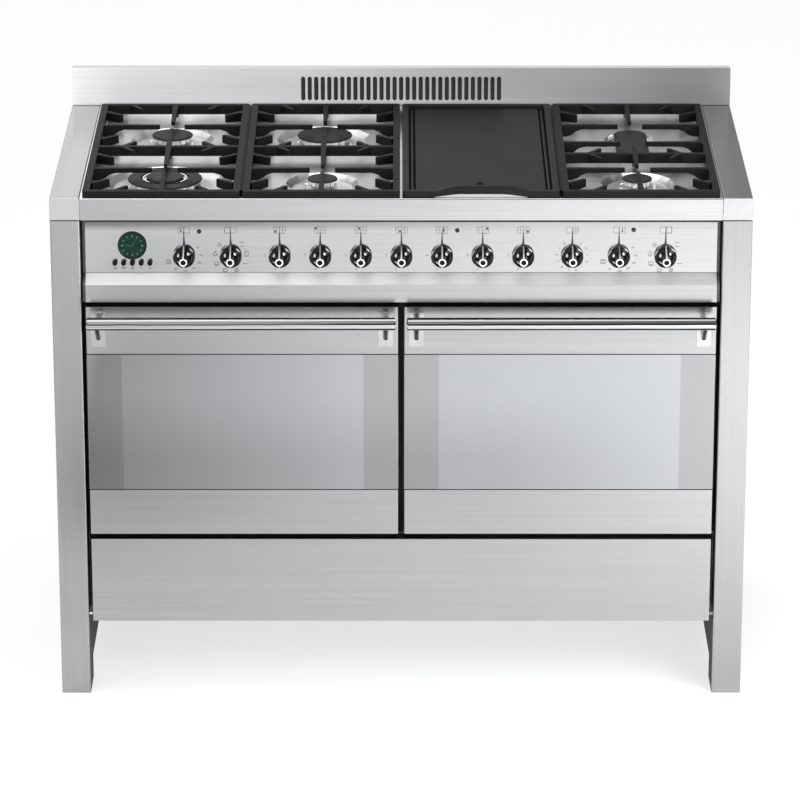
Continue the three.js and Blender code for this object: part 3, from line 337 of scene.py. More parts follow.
# Painted highlights on a knob, as (the direction they face, least cosine to it)
KNOB_PAINTED_GLINTS = (((-0.80, -0.42, 0.42), 0.975), ((-0.55, -0.62, -0.56), 0.978),
               ((0.62, -0.42, 0.66), 0.985))
PAINTED_GLINT_EDGE = 0.012


def tube_chrome(name):
    """Chrome of the round handles, with painted reflections: the bands that a studio leaves along
    a bright bar, painted into its colour by the normal's height.
    """
    look = Look(name, steel(0.52), metallic=1.0, roughness=0.05)
    wobble = look.ranged(look.noise(14, 1, (1, 0.2, 0.2)), -0.03, 0.03, 0.3, 0.7)
    _, _, upward = look.split(look.normal)
    reflection_bands = look.node("ShaderNodeValToRGB")
    stops = reflection_bands.color_ramp.elements
    while len(stops) < len(HANDLE_PAINTED_REFLECTIONS):
        stops.new(0.5)
    for stop, (height, tone) in zip(stops, HANDLE_PAINTED_REFLECTIONS):
        stop.position = (height + 1) / 2
        stop.color = (*toned(look.color, tone), 1)
    look.feed(look.ranged(look.math("ADD", upward, wobble), 0, 1, -1, 1), reflection_bands.inputs["Fac"])
    look.feed(reflection_bands.outputs["Color"], look.shader.inputs["Base Color"])
    look.vary_roughness(look.noise(25, 4, (0.2, 1, 1)), 0.035, 0.08)


def knob_gloss(name):
    """Black gloss with painted highlights: the small bright lights that a studio leaves on a
    turned knob, painted where its normal faces them.
    """
    look = skinned(name, (0.002, 0.002, 0.0023), 0.10, FLOW, polish=(0.07, 0.15),
                   grain=FLOW_GRAIN, Specular_IOR_Level=0.34)
    for toward, limit in KNOB_PAINTED_GLINTS:
        facing = look.node("ShaderNodeVectorMath", operation="DOT_PRODUCT")
        look.feed(look.normal, facing.inputs[0])
        facing.inputs[1].default_value = Vector(toward).normalized()
        look.vary_color(facing.outputs["Value"], (0.75, 0.75, 0.76), limit - PAINTED_GLINT_EDGE, limit)


def oven_enamel(name):
    """Dark enamel with pale specks."""
    look = skinned(name, (0.020, 0.022, 0.027), 0.2, (220, 3), polish=(0.14, 0.3),
                   grain=0.00004, Coat_Weight=0.35)
    look.vary_color(look.cells(900, "Distance"), (0.16, 0.17, 0.19), 0.12, 0.02)


def galvanised(name):
    """Zinc-coated sheet with its spangle."""
    look = Look(name, (0.40, 0.42, 0.43), metallic=0.85, roughness=0.45)
    spangle = look.cells(70)
    look.vary_color(spangle, (0.52, 0.54, 0.55), 0.1, 0.9)
    look.vary_roughness(spangle, 0.36, 0.55, 0.1, 0.9)
    look.relief(look.noise(400, 4), 0.00003)


def powder_coat(name):
    look = skinned(name, (0.028, 0.029, 0.031), 0.45, (1300, 3), polish=(0.38, 0.56),
                   grain=0.00005)
    look.vary_color(look.noise(7, 2), (0.036, 0.037, 0.039), 0.3, 0.8)


def mirror_glass(name):
    """Grey reflecting glass with darker printed margins and a dark line at its rims."""
    look = Look(name, (0.303, 0.312, 0.320), metallic=0.9, roughness=0.04, Coat_Weight=0.3)
    x, _, z = look.split(look.place)
    offset = look.math("ABSOLUTE", look.math("SUBTRACT", look.math("ABSOLUTE", x), DOOR_X))
    edge = DOOR_HALF - GLASS_MARGIN
    look.vary_color(offset, (0.249, 0.253, 0.258), edge - 0.0004, edge + 0.0004)
    for border, inwards in ((GLASS_LOW, 1), (GLASS_HIGH, -1)):
        look.vary_color(z, (0.012, 0.012, 0.013),
                        border + inwards * 0.0016, border + inwards * 0.0013)
    look.vary_roughness(look.noise(5, 2), 0.025, 0.06)


# Painted light and shade along X: the upstand lit at its left and shaded at its right, the fascia
# shaded at its left, the ledge shaded at its right
UPSTAND_PAINTED_LIGHT = graded((-0.55, 1.16), (-0.2, 0.97), (0.55, 0.27))
FASCIA_PAINTED_LIGHT = graded((-0.5, 0.76), (0.5, 1.0))
LEDGE_PAINTED_LIGHT = graded((-0.3, 1.0), (0.5, 0.58))
DULL_METAL = 0.35  # keeps the reflection of the rails off these steels

brushed("brushed_steel", steel(0.37), 0.20, "x")
brushed("leg_steel", steel(0.345), 0.22, "z", 0.5)
# Dark steel for painted shade on the panel's returns and a painted reflection at its crease
brushed("painted_shade_steel", (0.08, 0.081, 0.083), 0.3, "z", 0.3)
brushed("rail_steel", steel(0.50), 0.24, "y", 0.2)
brushed("panel_steel", steel(0.42), 0.13, "x", 0.4, shaded=under_fascia)
brushed("fascia_steel", steel(0.50), 0.15, "x", 0.4, shaded=FASCIA_PAINTED_LIGHT)
brushed("strip_steel", steel(0.37), 0.16, "x", 0.4)
brushed("upstand_steel", (0.80, 0.807, 0.822), 0.5, "x", 0.0, DULL_METAL, UPSTAND_PAINTED_LIGHT)
brushed("lip_steel", steel(0.66), 0.5, "x", 0.0, DULL_METAL)
brushed("hob_steel", steel(0.80), 0.17, "x", 0.3)
brushed("well_steel", steel(0.80), 0.34, "x", 0.2)
brushed("ledge_steel", steel(0.74), 0.62, "x", 0.85, DULL_METAL, LEDGE_PAINTED_LIGHT)

cast("burner_aluminium", (0.62, 0.62, 0.63), 0.32, 0.00010, metallic=0.9)
cast("burner_cap", (0.016, 0.016, 0.017), 0.42, 0.00003, 1100, Specular_IOR_Level=0.13)
cast("cast_iron", (0.0055, 0.0057, 0.0062), 0.5, 0.00005, Specular_IOR_Level=0.13)
cast("griddle_iron", (0.0075, 0.0078, 0.0085), 0.45, 0.00003, 900, Specular_IOR_Level=0.13)
# Near black for painted shade on the griddle's sunken floors
cast("sunken_shade", (0.003, 0.003, 0.0032), 0.8, 0.00003, 900, Specular_IOR_Level=0.02)
cast("element", (0.07, 0.06, 0.055), 0.55, 0.00004)
# Near black for painted shade: inner faces, undersides, gaps and the hollow behind the vents
cast("shade_black", (0.012, 0.012, 0.013), 0.6, 0.00003)

polished("pointer", steel(0.93), 0.42)
polished("chrome", (0.66, 0.67, 0.68), 0.05)
polished("plate_steel", steel(0.43), 0.20)
polished("brass", (0.62, 0.47, 0.22), 0.28)
polished("zinc", (0.70, 0.71, 0.72), 0.30)

glossy("button", (0.003, 0.003, 0.0035), 0.16, Specular_IOR_Level=0.12)
glossy("clock_rim", (0.005, 0.016, 0.012), 0.3, Specular_IOR_Level=0.15)
glossy("clock_print", (0.17, 0.30, 0.24), 0.5, Specular_IOR_Level=0.1)
glossy("clock_hand", (0.055, 0.105, 0.085), 0.5, Specular_IOR_Level=0.1)
glossy("ceramic", (0.74, 0.73, 0.70), 0.3)

skinned("clock", (0.007, 0.029, 0.022), 0.3, (140, 4), ((0.009, 0.037, 0.028), 0.4, 0.75),
        Specular_IOR_Level=0.08)
skinned("lamp", (0.020, 0.005, 0.004), 0.2, (300, 2), ((0.035, 0.008, 0.006), 0.4, 0.8))
skinned("print", (0.020, 0.021, 0.023), 0.6, (2500, 2), ((0.05, 0.052, 0.056), 0.4, 0.7),
        grain=0.00001)
skinned("rubber", (0.016, 0.016, 0.017), 0.62, (900, 3), polish=(0.5, 0.75), grain=0.00005)
skinned("inner_glass", (0.86, 0.90, 0.89), 0.02, (12, 3), polish=(0.01, 0.05),
        Transmission_Weight=1.0, IOR=1.46)
skinned("lamp_glass", (0.92, 0.93, 0.90), 0.12, (60, 3), polish=(0.06, 0.2),
        Transmission_Weight=0.7, IOR=1.46)

powder_coat("dark_steel")
knob_gloss("knob")
mirror_glass("door_glass")
tube_chrome("handle_chrome")
oven_enamel("oven_enamel")
galvanised("galvanised")

# ---- Pieces

BODY_OF = {node: body for body, nodes in frame["record"]["behaviour"]["bodies"].items()
           for node in nodes}
SMOOTH_BELOW = 32  # degrees between faces
BEVEL_FROM = 28
SAME_POINT = 1e-6


def finish_piece(piece, body, look, stands_for=()):
    piece.data.materials.clear()
    piece.data.materials.append(LOOKS[look])
    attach(piece, body)
    if stands_for:
        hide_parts(*stands_for)
    return piece


def mesh_object(name, bm):
    mesh = bpy.data.meshes.new(name)
    bm.to_mesh(mesh)
    bm.free()
    piece = bpy.data.objects.new(name, mesh)
    bpy.context.scene.collection.objects.link(piece)
    return piece


def shade(piece, degrees=SMOOTH_BELOW):
    """Smooth shading, split where faces meet at more than this angle."""
    bm = bmesh.new()
    bm.from_mesh(piece.data)
    limit = math.radians(degrees)
    for face in bm.faces:
        face.smooth = True
    for edge in bm.edges:
        edge.smooth = edge.calc_face_angle(math.pi) < limit
    bm.to_mesh(piece.data)
    bm.free()
    return piece


def round_edges(piece, width, segments=2):
    modifier = piece.modifiers.new("rounding", "BEVEL")
    modifier.width = width
    modifier.segments = segments
    modifier.limit_method = "ANGLE"
    modifier.angle_limit = math.radians(BEVEL_FROM)
    modifier.use_clamp_overlap = True
    modifier.harden_normals = True


def dressed(node, look, width, slot=None, segments=2, merged=False):
    """A finer copy of a CAD node, with rounded edges."""
    bm = bmesh.new()
    bm.from_mesh(frame["nodes"][node].data)
    bmesh.ops.remove_doubles(bm, verts=bm.verts, dist=SAME_POINT)
    if merged:
        bmesh.ops.dissolve_limit(bm, angle_limit=math.radians(0.6), verts=bm.verts,
                                 edges=bm.edges)
    piece = shade(mesh_object(f"{node}_dressed", bm))
    round_edges(piece, width, segments)
    flat = piece.modifiers.new("flat_faces", "WEIGHTED_NORMAL")
    flat.keep_sharp = True
    return finish_piece(piece, BODY_OF[node], look, (node,))


UP, DOWN, FRONT = Vector((0, 0, 1)), Vector((0, 0, -1)), Vector((0, -1, 0))


def below(limit):
    return (-math.inf, limit)


def above(limit):
    return (limit, math.inf)


ANYWHERE = (-math.inf, math.inf)


def second_look(piece, look, toward=None, least=0.9, x=ANYWHERE, y=ANYWHERE, z=ANYWHERE):
    """Faces turned towards a direction, with their middle within limits, look different."""
    piece.data.materials.append(LOOKS[look])
    for face in piece.data.polygons:
        within = all(low < place < high
                     for place, (low, high) in zip(face.center, (x, y, z)))
        if within and (toward is None or face.normal.dot(toward) > least):
            face.material_index = len(piece.data.materials) - 1


def keep(node, look):
    """A CAD node whose shape is right: it only gets its material."""
    mesh = frame["nodes"][node].data
    mesh.materials.clear()
    mesh.materials.append(LOOKS[look])


def rounded_outline(width, height, radius, steps=5, centre=(0, 0)):
    """A rectangle with round corners, anticlockwise."""
    points = []
    for sign_u, sign_v, start in ((1, 1, 0), (-1, 1, 90), (-1, -1, 180), (1, -1, 270)):
        corner = (centre[0] + sign_u * (width / 2 - radius),
                  centre[1] + sign_v * (height / 2 - radius))
        points += circle(radius, corner, steps, start, 90)
    return points


def circle(radius, centre=(0, 0), steps=16, start=0.0, sweep=360.0):
    """Points on a circle, or on an arc with both its ends."""
    count = steps if sweep == 360 else steps + 1
    angles = [math.radians(start + sweep * step / steps) for step in range(count)]
    return [(centre[0] + radius * math.cos(angle), centre[1] + radius * math.sin(angle))
            for angle in angles]


AXIS_TURNS = {
    "-y": Matrix.Rotation(math.pi / 2, 4, "X"),
    "y": Matrix.Rotation(-math.pi / 2, 4, "X"),
    "z": Matrix.Identity(4),
}
# Each plane's two directions and its normal
PLANES = {
    "front": Matrix(((1, 0, 0), (0, 0, -1), (0, 1, 0))),
    "back": Matrix(((-1, 0, 0), (0, 0, 1), (0, 1, 0))),
    "top": Matrix.Identity(3),
    "side": Matrix(((0, 0, 1), (1, 0, 0), (0, 1, 0))),
}
WIDEST_MITRE = 0.4  # cosine at which a line's corner stops growing
FONT_FIT = 1.4  # the built-in font's size for figures of height 1


class Shape:
    """Turned, extruded and drawn forms, gathered in one mesh."""

    def __init__(self):
        self.bm = bmesh.new()

    def skin(self, rings, closed=False):
        """Faces between rings of points, and caps where the rings don't close."""
        rings = [[self.bm.verts.new(point) for point in ring] for ring in rings]
        pairs = list(zip(rings, rings[1:]))
        if closed:
            pairs.append((rings[-1], rings[0]))
        count = len(rings[0])
        for low, high in pairs:
            for i in range(count):
                j = (i + 1) % count
                self.bm.faces.new((low[i], low[j], high[j], high[i]))
        if not closed:
            self.bm.faces.new(list(reversed(rings[0])))
            self.bm.faces.new(rings[-1])
        return self

    def turned(self, profile, place, axis="-y", segments=48, closed=False):
        """A profile of (radius, height) in millimetres, turned about an axis."""
        turn = Matrix.Translation(place) @ AXIS_TURNS[axis]
        return self.skin([[turn @ Vector((u, v, height * MM))
                           for u, v in circle(radius * MM, steps=segments)]
                          for radius, height in profile], closed)

    def slab(self, outline, low, high, place=(0, 0, 0), plane="front"):
        """An outline in a plane, extruded along that plane's normal from low to high."""
        basis = PLANES[plane]
        place = Vector(place)
        return self.skin([[place + basis @ Vector((u, v, w)) for u, v in outline]
                          for w in (low, high)])

    def stroke(self, path, width, low, high, place=(0, 0, 0), plane="front", closed=False,
               end_width=None):
        """A flat line along a path in a plane, as thick as low to high."""
        basis = PLANES[plane]
        place = Vector(place)
        points = [Vector(point) for point in path]
        count = len(points)
        rings = []
        for i, point in enumerate(points):
            ahead = points[(i + 1) % count] if closed or i + 1 < count else None
            behind = points[i - 1] if closed or i else None
            sides = [(b - a).normalized() for a, b in ((behind, point), (point, ahead))
                     if a is not None and b is not None]
            along = (sides[0] + sides[-1]).normalized()
            widening = 1 / max(WIDEST_MITRE, along.dot(sides[0]))
            here = width
            if end_width is not None:
                here += i / (count - 1) * (end_width - width)
            across = Vector((-along.y, along.x)) * here / 2 * widening
            corners = ((point - across, low), (point + across, low),
                       (point + across, high), (point - across, high))
            rings.append([place + basis @ Vector((uv.x, uv.y, w)) for uv, w in corners])
        return self.skin(rings, closed)

    def tube(self, path, radius, sides=12):
        """A round bar along a path, its ring turned as little as the path allows."""
        points = [Vector(point) for point in path]
        rings = []
        side = None
        for behind, point, ahead in zip(points[:1] + points, points, points[1:] + points[-1:]):
            along = (ahead - behind).normalized()
            side = side or along.orthogonal()
            side = (side - along * side.dot(along)).normalized()
            other = along.cross(side)
            rings.append([point + radius * (u * side + v * other)
                          for u, v in circle(1, steps=sides)])
        return self.skin(rings)

    def words(self, figures, height, place, depth):
        """Figures on the front face, centred on a place, cut from the built-in font."""
        curve = bpy.data.curves.new("figures", "FONT")
        curve.body = figures
        curve.size = height * FONT_FIT
        curve.align_x = curve.align_y = "CENTER"
        curve.extrude = depth / 2
        curve.resolution_u = 2
        holder = bpy.data.objects.new("figures", curve)
        mesh = bpy.data.meshes.new_from_object(holder)
        mesh.transform(Matrix.Translation(Vector(place)) @ PLANES["front"].to_4x4()
                       @ Matrix.Translation((0, 0, depth / 2)))
        self.bm.from_mesh(mesh)
        bpy.data.objects.remove(holder)
        bpy.data.curves.remove(curve)
        bpy.data.meshes.remove(mesh)
        return self

    def piece(self, name, body, look, slot=None, stands_for=(), width=0.0,
              degrees=SMOOTH_BELOW):
        """The object of all these forms, finished; width rounds its edges."""
        bmesh.ops.remove_doubles(self.bm, verts=self.bm.verts, dist=SAME_POINT / 10)
        bmesh.ops.recalc_face_normals(self.bm, faces=self.bm.faces)
        piece = shade(mesh_object(name, self.bm), degrees)
        if width:
            round_edges(piece, width)
        return finish_piece(piece, body, look, stands_for)


# ---- Dressed nodes: look, rounding of the edges, and a slot where it isn't the look's name

CAVITY_FRONT = -0.2235
SEAL_Y = (-0.2280, -0.2252)
SEAL_FOOT = 0.330
SEAL_HALF = 0.236
HANDLE_FEET_Y = -0.2735
WELL_EDGE = 0.9138
PANEL_TOP_Y = -0.249
FASCIA_Y = -0.26
LIP_EDGE = 0.984
LEDGE_TOP = 0.7755
STRIP_TOP = 0.759
GRIDDLE_FLOOR = 0.9203
BACK_OUT = 0.3020
TERMINAL_BOX = (-0.30, (0.42, 0.535))  # its inner side in X, and its span in Z
INLET_SIDE = 0.41
CROWN_RIM = 0.9046

PAIRS = (
    ("front_leg", "leg_steel", 0.0006, "brushed_steel"),
    ("side_cheek", "dark_steel", 0.0010, None),
    ("hob_rail", "rail_steel", 0.0006, "brushed_steel"),
    ("door_frame", "brushed_steel", 0.0008, None),
    ("door_glass", "door_glass", 0.0007, None),
    ("door_inner_glass", "inner_glass", 0.0007, None),
    ("oven_cavity", "oven_enamel", 0.0006, None),
    ("door_handle", "handle_chrome", 0.0006, "chrome"),
)
for side, inward in (("left", 1), ("right", -1)):
    pair = {kind: dressed(f"{kind}_{side}", *finish) for kind, *finish in PAIRS}
    # The inner faces of legs and side cheeks are near black: painted shade between the parts, on
    # the legs partly their black-painted frame
    for kind in ("front_leg", "side_cheek"):
        second_look(pair[kind], "shade_black", Vector((inward, 0, 0)))
    # The cavity's front faces are near black: painted shade in the gaps round the doors
    second_look(pair["oven_cavity"], "shade_black", FRONT, 0.3, y=below(CAVITY_FRONT))
    centre = -inward * DOOR_X
    second_look(pair["oven_cavity"], "rubber", x=(centre - SEAL_HALF, centre + SEAL_HALF),
                y=SEAL_Y, z=above(SEAL_FOOT))
    second_look(pair["door_handle"], "plate_steel", y=above(HANDLE_FEET_Y))
    keep(f"oven_rack_{side}", "chrome")

hob = dressed("hob_top", "hob_steel", 0.0012, segments=3)
second_look(hob, "well_steel", UP, 0.15, z=below(WELL_EDGE))
# The fascia's underside is near black: painted shade, which the panel below reflects as a dark
# line
second_look(hob, "shade_black", DOWN, y=below(PANEL_TOP_Y))
second_look(hob, "fascia_steel", FRONT, 0.5, y=below(FASCIA_Y))
upstand = dressed("upstand", "upstand_steel", 0.0007, "brushed_steel")
second_look(upstand, "lip_steel", UP, z=above(LIP_EDGE))
panel = dressed("control_panel", "panel_steel", 0.0006)
second_look(panel, "ledge_steel", UP, 0.3, z=below(LEDGE_TOP))
second_look(panel, "strip_steel", FRONT, z=below(STRIP_TOP))
dressed("storage_flap", "brushed_steel", 0.0007)
griddle = dressed("griddle_plate", "griddle_iron", 0.0012, "cast_iron", merged=True)
# The griddle's sunken floors, in its channels and spout, are near black: painted shade
second_look(griddle, "sunken_shade", UP, z=below(GRIDDLE_FLOOR))
for name in ("grate_1", "grate_2", "grate_4"):
    dressed(name, "cast_iron", 0.0010)
dressed("storage_compartment", "galvanised", 0.0008)
back = dressed("back_panel", "galvanised", 0.0008)
second_look(back, "dark_steel", x=below(TERMINAL_BOX[0]), y=above(BACK_OUT), z=TERMINAL_BOX[1])
second_look(back, "brass", x=above(INLET_SIDE), y=above(BACK_OUT))
keep("griddle_element", "element")

BURNERS = ("front_left", "back_left", "front_middle", "back_middle", "front_right",
           "back_right")
for name in BURNERS:
    body = dressed(f"burner_body_{name}", "burner_aluminium", 0.0004)
    if name == "front_left":
        second_look(body, "chrome", z=above(CROWN_RIM))
    dressed(f"burner_cap_{name}", "burner_cap", 0.0005)
dressed("burner_ring_front_left", "burner_cap", 0.0005)

# The griddle's arch is higher at its front, and its spout mark is larger and further back,
# clear of the arch as the camera sees it
ARCH_Y = -0.2585
ARCH_Z = (0.9148, 0.9180)
ARCH_FOOT, ARCH_GROWTH = 0.9146, 1.2
SPOUT_X, SPOUT_HALF = 0.1365, 0.0140
SPOUT_Y = (-0.2500, -0.2215)
SPOUT_Z = (0.9180, 0.9215)
SPOUT_FRONT = -0.249
SPOUT_SHIFT = 0.020
SPOUT_WIDENING, SPOUT_LENGTHENING = 0.4, 0.35
for vertex in griddle.data.vertices:
    x, y, z = vertex.co
    if y < ARCH_Y and ARCH_Z[0] < z < ARCH_Z[1]:
        vertex.co.z += ARCH_GROWTH * (z - ARCH_FOOT)
    if (abs(x - SPOUT_X) < SPOUT_HALF and SPOUT_Y[0] < y < SPOUT_Y[1]
            and SPOUT_Z[0] < z < SPOUT_Z[1]):
        vertex.co.y += SPOUT_SHIFT + SPOUT_LENGTHENING * (y - SPOUT_FRONT)
        vertex.co.x += SPOUT_WIDENING * (x - SPOUT_X)

# ---- Knobs: black gloss skirt and cone, bright ring, pointer and tail

KNOB_REACH = 0.040
KNOB_TOP = 0.0116  # of the skirt
KNOB_OUTER = 0.0069  # of the bright ring
KNOB_PROFILE = (
    (15, 0.6), (18.6, 0.6), (19, 1.1), (19, 8.4), (18.7, 9.8), (17.9, 10.9), (16.8, 11.4),
    (15.8, 11.3), (14.6, 10.7), (13.4, 11.2), (12.2, 12.4), (11.1, 14.4), (10.1, 17.2),
    (9.3, 20.8), (8.6, 25.5), (7.9, 31), (7.3, 36.5), (6.8, 38.8), (5, 38.8), (4.1, 38.6),
    (3.4, 39), (1.5, 39.3),
)
RING_PROFILE = ((4.5, 38.6), (4.5, 39.6), (4.9, 40), (6.3, 40), (6.9, 39.5), (6.9, 38.6))
NOSE_FROM = 0.0385  # the dull middle of the nose
FIN_HALF = 0.0017
FIN_ROOT = 0.0030
FIN_SPAN = (0.0096, KNOB_REACH - 0.0008)  # over the panel
FIN_TIPS = ((1, 0.0206), (-1, 0.0178))  # up and down
BAR_HALF = 0.0011
BAR_PROUD = 0.0005
BAR_ROOTS = (0.0008, 0.0022)  # how deep its two ends reach into the fin
BAR_SLOPE = (KNOB_REACH - 0.0006, KNOB_TOP - 0.0002)  # its face at the ring and at the tip
BARS = ((1, KNOB_OUTER - 0.0004, 0.0210), (-1, 0.0115, 0.0180))


def fin_outline(direction, tip):
    """Side view, as (depth, height), of a fin from the knob's nose to its skirt."""
    back, front = FIN_SPAN
    return [(-depth, direction * height) for depth, height in (
        (front, FIN_ROOT), (front, KNOB_OUTER - 0.0008), (KNOB_TOP, tip), (back, tip),
        (back, FIN_ROOT))]


def bar_outline(direction, start, tip):
    """Side view of the bright bar along a fin, from a height near the nose to its tip."""
    near, far = (BAR_SLOPE[0] + (BAR_SLOPE[1] - BAR_SLOPE[0])
                 * (height - KNOB_OUTER) / (tip - KNOB_OUTER) for height in (start, tip))
    return [(-depth, direction * height) for depth, height in (
        (near + BAR_PROUD, start), (far + BAR_PROUD, tip), (far - BAR_ROOTS[1], tip),
        (near - BAR_ROOTS[0], start))]


def middles(names):
    """The middle of each node's box along X, by its name."""
    return {name: sum(corner.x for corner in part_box(name)) / 2 for name in names}


KNOB_X = middles(body for body in frame["bodies"] if body.startswith("knob_"))
for name, x in KNOB_X.items():
    place = (x, PANEL_Y, KNOB_Z)
    black = Shape().turned(KNOB_PROFILE, place, segments=64)
    for direction, tip in FIN_TIPS:
        black.slab(fin_outline(direction, tip), -FIN_HALF, FIN_HALF, place, "side")
    grip = black.piece(f"{name}_grip", name, "knob", stands_for=(name,), width=0.0002)
    second_look(grip, "button", y=below(PANEL_Y - NOSE_FROM))
    bright = Shape().turned(RING_PROFILE, place, closed=True)
    for bar in BARS:
        bright.slab(bar_outline(*bar), -BAR_HALF, BAR_HALF, place, "side")
    bright.piece(f"{name}_pointer", name, "pointer", "chrome", width=0.00015)

# ---- Clock and buttons

CLOCK_PLACE = (CLOCK_X, PANEL_Y, CLOCK_Z)
BEZEL_PROFILE = (
    (21.6, 0), (24.6, 0.3), (25, 0.8), (25, 1.6), (24.4, 2.4), (23.4, 2.5), (22.6, 1.9),
    (21.6, 1.2),
)
DIAL_PROFILE = ((22, 0), (22, 1.2), (20, 1.3), (1, 1.4))
HUB_PROFILE = ((1.2, 1.2), (1.2, 1.9), (0.4, 2.1))
HOUR_RADIUS = 0.0172
HOUR_HALF, QUARTER_HALF = 0.0011, 0.0016  # half the length of an hour's mark
HOUR_WIDTH = 0.0013
HAND_START = 0.0015
HANDS = ((270, 0.0120, 0.0011), (31, 0.0165, 0.0009))  # turn in degrees, reach, width


def spoke(shape, turn, start, end, width, low, high, **settings):
    """A line on the clock, straight out from its middle, turned clockwise from the top."""
    across, up = math.sin(math.radians(turn)), math.cos(math.radians(turn))
    shape.stroke([(across * reach, up * reach) for reach in (start, end)], width, low, high,
                 CLOCK_PLACE, **settings)


Shape().turned(BEZEL_PROFILE, CLOCK_PLACE, segments=72, closed=True).piece(
    "clock_bezel", "cooker", "clock_rim", "clock")
Shape().turned(DIAL_PROFILE, CLOCK_PLACE, segments=72).piece(
    "clock_dial", "cooker", "clock", stands_for=("timer_clock",))
figures = Shape()
for hour in range(12):
    half = HOUR_HALF if hour % 3 else QUARTER_HALF
    spoke(figures, 30 * hour, HOUR_RADIUS - half, HOUR_RADIUS + half, HOUR_WIDTH, 0.0011,
          0.00155)
hands = Shape()
for turn, reach, width in HANDS:
    spoke(hands, turn, HAND_START, reach, width, 0.0014, 0.0018, end_width=width * 0.7)
hands.turned(HUB_PROFILE, CLOCK_PLACE, segments=16)
hands.piece("clock_hands", "cooker", "clock_hand", "clock")
figures.piece("clock_figures", "cooker", "clock_print", "clock")

BUTTON_PROFILE = (
    (3.8, -7.8), (4.2, -7.4), (4.2, 0.2), (4.4, 0.5), (4.4, 7.8), (4.2, 8.5), (3.7, 8.95),
    (3, 9), (2, 8.7), (0.8, 8.6),
)
BUTTON_X = middles(f"timer_button_{number}" for number in range(1, 6))
for name, x in BUTTON_X.items():
    Shape().turned(BUTTON_PROFILE, (x, PANEL_Y, BUTTON_Z), segments=32).piece(
        f"{name}_cap", name, "button", stands_for=(name,))

# ---- Marks printed on the panel, and its pilot lamps

INK = 0.00012
FLAME = ((0, 1), (0.34, 0.5), (0.5, 0.05), (0.44, -0.35), (0.2, -0.6), (0, -0.66))


class Marks(Shape):
    """Flat print on the panel's face, drawn in millimetres about a place."""

    def at(self, x, z):
        self.place = (x, PANEL_Y, z)

    def draw(self, rows):
        """Marks in rows, each the name of a method and its values."""
        for kind, *values in rows:
            getattr(self, kind)(*values)

    def line(self, path, width=0.6, closed=False, end_width=None):
        path = [(u * MM, v * MM) for u, v in path]
        end = None if end_width is None else end_width * MM
        self.stroke(path, width * MM, -INK / 3, INK, self.place, closed=closed, end_width=end)

    def fill(self, outline):
        self.slab([(u * MM, v * MM) for u, v in outline], -INK / 3, INK, self.place)

    def figure(self, figures, u, v, height):
        x, y, z = self.place
        self.words(figures, height * MM, (x + u * MM, y, z + v * MM), INK)

    def frame(self, u, v, width, height, radius=0.8, line=0.8):
        self.line(rounded_outline(width, height, radius, 3, (u, v)), line, True)

    def flame(self, u, v, size):
        outline = FLAME + tuple((-a, b) for a, b in reversed(FLAME[1:-1]))
        self.line([(u + a * size, v + b * size) for a, b in outline], 0.4, True)

    def fan(self, u, v, radius):
        self.line(circle(radius, (u, v), 20), 0.4, True)
        for tip in circle(0.6 * radius, (u, v), 3, 90):
            self.fill(circle(radius * 0.26, tip, 8))

    def dash(self, u, v, length):
        self.line([(u - length / 2, v), (u + length / 2, v)], 0.7)

    def wave(self, u, v, width):
        self.line([(u - width / 2 + width * i / 6, v + (1.0 if i % 2 else -0.4))
                   for i in range(7)], 0.5)


PICTURE_RISE = 46.5  # its middle over the knob's axis
PICTURE_HALF = 5.3  # from its middle to the middle of each of its two small ovens
BURNER_DOTS = {
    "knob_burner_front_left": (-7.5, -2.8),
    "knob_burner_back_left": (-7.5, 2.8),
    "knob_burner_back_middle": (-2.5, 2.8),
    "knob_burner_front_middle": (-2.5, -2.8),
    "knob_burner_back_right": (7.5, 2.8),
    "knob_burner_front_right": (7.5, -2.8),
}
HOB_MARKS = (
    ("frame", 0, PICTURE_RISE, 20, 11.5, 2.0, 0.55),
    *(("line", [(u, PICTURE_RISE - 5.5), (u, PICTURE_RISE + 5.5)], 0.45) for u in (-5, 0, 5)),
    ("line", [(-9.8, PICTURE_RISE), (9.8, PICTURE_RISE)], 0.45),
)
FLAMES = (("flame", -25.5, 1.3, 3.2), ("flame", -8.5, -24.2, 2.4))
PLATE_MARKS = (
    ("fill", [(1.4, PICTURE_RISE - 4.2), (3.6, PICTURE_RISE - 4.2), (3.6, PICTURE_RISE + 4.2),
              (1.4, PICTURE_RISE + 4.2)]),
    ("wave", -25.5, 1, 5), ("dash", -8.5, -24, 3.5),
)
TEMPERATURES = ((50, 34), (100, 2), (150, -27), (200, -56), (250, -87))  # with their turns
GRILL_MARKS = (("dash", -15, -22.5, 5), ("dash", -15, -25, 4),
               ("frame", -26.8, -9.8, 8, 7.4, 1.2, 0.7), ("wave", -26.8, -8.6, 5),
               ("dash", -26.8, -11.6, 5))
